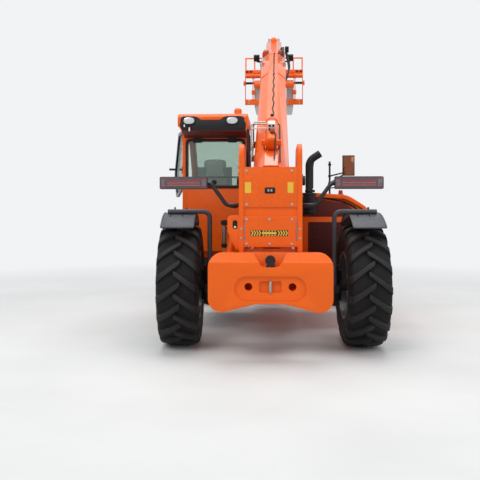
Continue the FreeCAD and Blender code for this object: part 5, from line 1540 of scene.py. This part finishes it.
    def housings(self) -> None:
        """Wear-pad housings, darkened as painted shade, with bolts at the front of the outer boom."""
        cases = Shape(BOOM)
        bolts = Shape(BOOM)
        for side in (-1, 1):
            cases.prism(rounded([(side * 0.072, 0.1145), (side * 0.072, 0.150, 0.010),
                                 (side * 0.150, 0.150, 0.012), (side * 0.172, 0.110, 0.012),
                                 (side * 0.172, 0.050), (side * 0.160, 0.050)]), "Y", 4.770, 4.855)
            for u in (4.790, 4.835):
                bolts.bolt((side * 0.095, u, 0.150), (0, 0, 1), 0.009)
                bolts.bolt((side * 0.135, u, 0.150), (0, 0, 1), 0.009)
        # The housings face rearward; their darker orange is painted shade.
        cases.done("pad_housings", SHADED, "boom_outer", 0.002)
        side_bolts = Shape(BOOM)
        for side in (-1, 1):
            for u in (4.66, 4.72, 4.78, 4.83):
                for v in (-0.060, -0.160):
                    side_bolts.bolt((side * 0.1781, u, v), (side, 0, 0), 0.010)
        bolts.done("housing_bolts", STEEL, "boom_outer")
        side_bolts.done("pad_bolts", STEEL, "boom_outer")

    def hoses(self) -> None:
        """Hose loops and connector at the boom's front, hose guide and bolts at its head."""
        loops = Shape(BOOM)
        for k, x in enumerate((0.120, 0.142)):
            loops.tube([(x, 4.60, 0.122 + 0.01 * k), (x + 0.02, 4.72, 0.170 + 0.02 * k),
                        (x + 0.012, 4.86, 0.190), (x, 4.95, 0.150), (x - 0.03, 4.99, 0.095)], 0.009, 0.07)
        for k in range(3):
            g = 0.012 * k
            loops.tube([(0.205 - g, 4.80, 0.125), (0.238 - g, 4.66, 0.040 - g), (0.252 - g, 4.48, -0.040),
                        (0.222, 4.30 - 3 * g, -0.070 - g), (0.190, 4.12 - 4 * g, -0.090 - g)], 0.0085, 0.09)
        loops.tube([(-0.212, 4.742, -0.012), (-0.196, 4.60, -0.022), (-0.184, 4.30, -0.030),
                    (-0.184, 3.95, -0.034)], 0.006, 0.05)
        loops.done("front_hose_loops", RUBBER, "boom_outer")
        box = Shape(BOOM).prism(oblong(0.176, 0.118, 0.236, 0.204, 0.008), "Y", 4.795, 4.855)
        box.lathe([(0, 0.016), (0.012, 0.016), (0.014, 0.012)], (0.206, 4.796, 0.160), (0, -1, 0), 16)
        box.done("front_connector", PLASTIC, "boom_outer", 0.003)
        guide = Shape(BOOM)
        rings = []
        for u, grow in ((5.880, 0.4), (5.895, 0.95), (5.990, 1.0), (6.005, 0.5)):
            ring = [(0.056 * math.cos(math.pi * k / 12) * grow, u,
                     0.0735 + 0.044 * math.sin(math.pi * k / 12) * grow) for k in range(13)]
            rings.append(ring)
        guide.skin(rings)
        guide.done("head_hose_guide", ORANGE, "boom_inner", 0.001)
        heads = Shape(BOOM)
        for side in (-1, 1):
            for u in (5.93, 6.06):
                heads.lathe([(0, 0.014), (0.008, 0.014), (0.010, 0.010)], (side * 0.082, u, 0.0670),
                            (side * 0.45, 0, 1), 6)
        heads.done("head_bolts", SOOT, "boom_inner")

    def lamps(self) -> None:
        """Lens and cooling fins of the two work lamps."""
        lens = Shape(BOOM)
        fins = Shape(BOOM)
        for side in (-1, 1):
            x = side * 0.260
            lens.prism(oblong(x - 0.038, 0.010, x + 0.038, 0.085, 0.008), "Y", 4.7895, 4.7930)
            for k in range(5):
                fins.box((x - 0.040, 4.7155, 0.012 + 0.017 * k), (x + 0.040, 4.7205, 0.018 + 0.017 * k))
        lens.done("work_lamp_lenses", WHITE_LENS, "boom_outer", 0.001)
        fins.done("work_lamp_fins", PLASTIC, "boom_outer", 0.001)


class Undercarriage:
    """Lock cylinder beside the tower, with its bracket."""

    def build(self) -> None:
        """Make the cylinder's barrel, rod, ends and bracket."""
        top = Vector((-0.436, -0.100, 1.182))
        foot = Vector((-0.446, -0.060, 0.700))
        way = (foot - top).normalized()
        barrel = Shape().lathe([(0.03, 0.012), (0.032, 0.021), (0.190, 0.021), (0.196, 0.0165),
                                (0.200, 0.0105)], top, way, 24)
        barrel.done("lock_cylinder_barrel", LOCKER, "chassis")
        rod = Shape().lathe([(0.196, 0.0098), ((foot - top).length - 0.02, 0.0098)], top, way, 20)
        rod.done("lock_cylinder_rod", CHROME, "chassis")
        ends = Shape()
        for spot in (top, foot):
            ends.lathe([(-0.026, 0.020), (-0.026, 0.026), (0.026, 0.026), (0.026, 0.020)], spot, (0, 1, 0),
                       24)
        ends.prism(oblong(-0.468, 1.160, -0.400, 1.204, 0.01), "Y", -0.136, -0.128)
        ends.lathe([(0, 0.026), (0.030, 0.026), (0.034, 0.022)], top + way * 0.200, way, 24)
        ends.tube([top + Vector((0.014, -0.018, -0.050)), top + Vector((0.050, -0.030, -0.070)),
                   top + Vector((0.130, -0.020, -0.030)), top + Vector((0.190, 0.010, -0.010))], 0.006, 0.03)
        ends.done("lock_cylinder_ends", SOOT, "chassis", 0.001)
        bracket = Shape()
        bracket.prism(rounded([(-0.2735, 1.150), (-0.2735, 1.235), (-0.420, 1.215, 0.02),
                               (-0.464, 1.196, 0.02), (-0.464, 1.168, 0.02), (-0.420, 1.160, 0.02)]), "Y",
                      -0.072, -0.060)
        bracket.done("lock_cylinder_bracket", ORANGE, "chassis", 0.002)


PIN_SHRINK = 0.0012

NODE_FINISHES: dict[str, tuple[Finish, float]] = {
    "frame": (ORANGE, 0.003), "counterweight": (CASTING, 0.014), "rear_covers": (ORANGE, 0.002),
    "chassis_pins": (IRON, 0.003), "axle_rear": (IRON, 0.004), "axle_front": (IRON, 0.004),
    "cab_rear_wall": (ORANGE, 0.006), "cab_right_wall": (ORANGE, 0.006), "cab_left_frame": (ORANGE, 0.004),
    "cab_front_wall": (ORANGE, 0.006), "cab_floor": (BLACK, 0.004), "cab_roof": (ORANGE, 0.012),
    "seat_base": (BLACK, 0.010), "door_lower": (ORANGE, 0.005), "door_window_frame": (BLACK, 0.004),
    "side_tank": (BLACK, 0.010), "pod_shell": (ORANGE, 0.003), "pod_end_panels": (ORANGE, 0.003),
    "engine_hood": (ORANGE, 0.003), "engine_block": (IRON, 0.010), "exhaust": (SOOT, 0.002),
    "light_brackets": (BLACK, 0.002), "boom_outer": (GLOSS, 0.004), "boom_wear_pads": (NYLON, 0.002),
    "boom_top_cylinder": (ORANGE, 0.004), "boom_valve": (STEEL, 0.002), "boom_cable": (RUBBER, 0.001),
    "work_lights": (PLASTIC, 0.006), "boom_inner": (GLOSS, 0.003), "carriage": (ORANGE, 0.003),
    "carriage_pins": (IRON, 0.003), "forks": (FORK, 0.003), "lift_barrel": (ORANGE, 0.003),
    "lift_rod": (CHROME, 0.002), "tilt_barrel": (ORANGE, 0.003), "tilt_rod": (CHROME, 0.002),
}


class Studio:
    """Camera at the photograph's place, soft lamps and a pale floor."""

    camera_at: Point = (0.127, -9.445, 1.316)
    yaw: float = 3.13
    lens: float = 51.0
    shift_y: float = -0.0708

    def build(self) -> None:
        """Make the camera, the lamps, the floor and the world."""
        scene = bpy.context.scene
        data = bpy.data.cameras.new("camera")
        data.lens = self.lens
        data.sensor_width = 36.0
        data.shift_y = self.shift_y
        camera = bpy.data.objects.new("camera", data)
        camera.location = self.camera_at
        camera.rotation_euler = (math.radians(90), 0.0, math.radians(self.yaw))
        scene.collection.objects.link(camera)
        scene.camera = camera
        scene.view_settings.view_transform = "Standard"
        self.lamp("key", (-5.0, -11.0, 9.5), (0, -2, 1.2), 6.0, 560.0)
        self.lamp("fill", (7.0, -9.0, 6.0), (0, -2, 1.5), 7.0, 250.0)
        self.lamp("top", (0.0, -1.0, 10.5), (0, 0, 0), 8.0, 720.0)
        self.floor()
        self.world()

    def lamp(self, name: str, place: Point, aim: Point, size: float, power: float) -> None:
        """Add one square soft lamp aimed at a point."""
        data = bpy.data.lights.new(name, "AREA")
        data.size = size
        data.energy = power
        lamp = bpy.data.objects.new(name, data)
        lamp.location = place
        lamp.rotation_euler = (Vector(aim) - Vector(place)).to_track_quat("-Z", "Y").to_euler()
        bpy.context.scene.collection.objects.link(lamp)

    def floor(self) -> None:
        """Add the pale floor that takes the shadow."""
        mesh = bpy.data.meshes.new("floor")
        size = 40.0
        mesh.from_pydata([(-size, -size, 0), (size, -size, 0), (size, size, 0), (-size, size, 0)], [],
                         [(0, 1, 2, 3)])
        floor = bpy.data.objects.new("floor", mesh)
        bpy.context.scene.collection.objects.link(floor)
        graph = Graph("pale_studio_floor")
        coords = graph.node("ShaderNodeTexCoord").outputs["Object"]
        tone = graph.ramp(graph.noise(coords, 1.5, 4.0), 0.3, 0.7, 0.0, 1.0)
        colour = graph.mix(tone, linear("#DCDBD8"), linear("#D2D1CE"))
        shader = graph.node("ShaderNodeBsdfPrincipled", {"Base Color": colour, "Roughness": 0.8})
        middle = graph.node("ShaderNodeVectorMath", {0: coords, 1: (0.0, 2.0, 0.0)}).outputs["Vector"]
        reach = graph.node("ShaderNodeVectorMath", {0: middle}, operation="LENGTH").outputs["Value"]
        away = graph.ramp(reach, 3.8, 8.5)
        far = graph.node("ShaderNodeEmission", {0: (0.93, 0.94, 0.96, 1.0), 1: 0.95})
        blended = graph.node("ShaderNodeMixShader", {0: away, 1: shader.outputs[0], 2: far.outputs[0]})
        graph.node("ShaderNodeOutputMaterial", {0: blended.outputs[0]})
        mesh.materials.append(graph.material)

    def world(self) -> None:
        """Light grey world that camera, glossy and clear rays see as near white."""
        world = bpy.data.worlds.new("studio")
        bpy.context.scene.world = world
        world.use_nodes = True
        tree = world.node_tree
        tree.nodes.clear()
        ambient = tree.nodes.new("ShaderNodeBackground")
        ambient.inputs[0].default_value = (0.85, 0.92, 1.0, 1.0)
        ambient.inputs[1].default_value = 0.55
        seen = tree.nodes.new("ShaderNodeBackground")
        seen.inputs[0].default_value = (0.93, 0.94, 0.96, 1.0)
        seen.inputs[1].default_value = 0.95
        path = tree.nodes.new("ShaderNodeLightPath")
        factor = path.outputs["Is Camera Ray"]
        for name in ("Is Glossy Ray", "Is Transmission Ray"):
            either = tree.nodes.new("ShaderNodeMath")
            either.operation = "MAXIMUM"
            tree.links.new(factor, either.inputs[0])
            tree.links.new(path.outputs[name], either.inputs[1])
            factor = either.outputs[0]
        mix = tree.nodes.new("ShaderNodeMixShader")
        tree.links.new(factor, mix.inputs[0])
        tree.links.new(ambient.outputs[0], mix.inputs[1])
        tree.links.new(seen.outputs[0], mix.inputs[2])
        output = tree.nodes.new("ShaderNodeOutputWorld")
        tree.links.new(mix.outputs[0], output.inputs[0])


def main() -> None:
    Studio().build()
    for node, (finish, width) in NODE_FINISHES.items():
        refine(node, finish, width, PIN_SHRINK if node.endswith("_pins") else 0.0)
    LOG.info("finished skins: %d", len(NODE_FINISHES))
    for corner in CORNERS:
        Wheel(corner).build()
        Fender(corner).build()
    cases = [RearLight(side).build() for side in (-1, 1)]
    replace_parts(cases[0], "light_bars")
    for assembly in (Tower(), Counterweight(), Cab(), EnginePod(), Mirror(), Boom(), Undercarriage()):
        assembly.build()
        LOG.info("built %s", type(assembly).__name__)
    glass = PAINT.glass("green_tinted_safety_glass", "#E8F1EC", 0.08)
    for node in ("cab_glass", "door_glass"):
        data = frame["nodes"][node].data
        data.materials.clear()
        data.materials.append(glass)


if __name__ == "__main__":
    main()
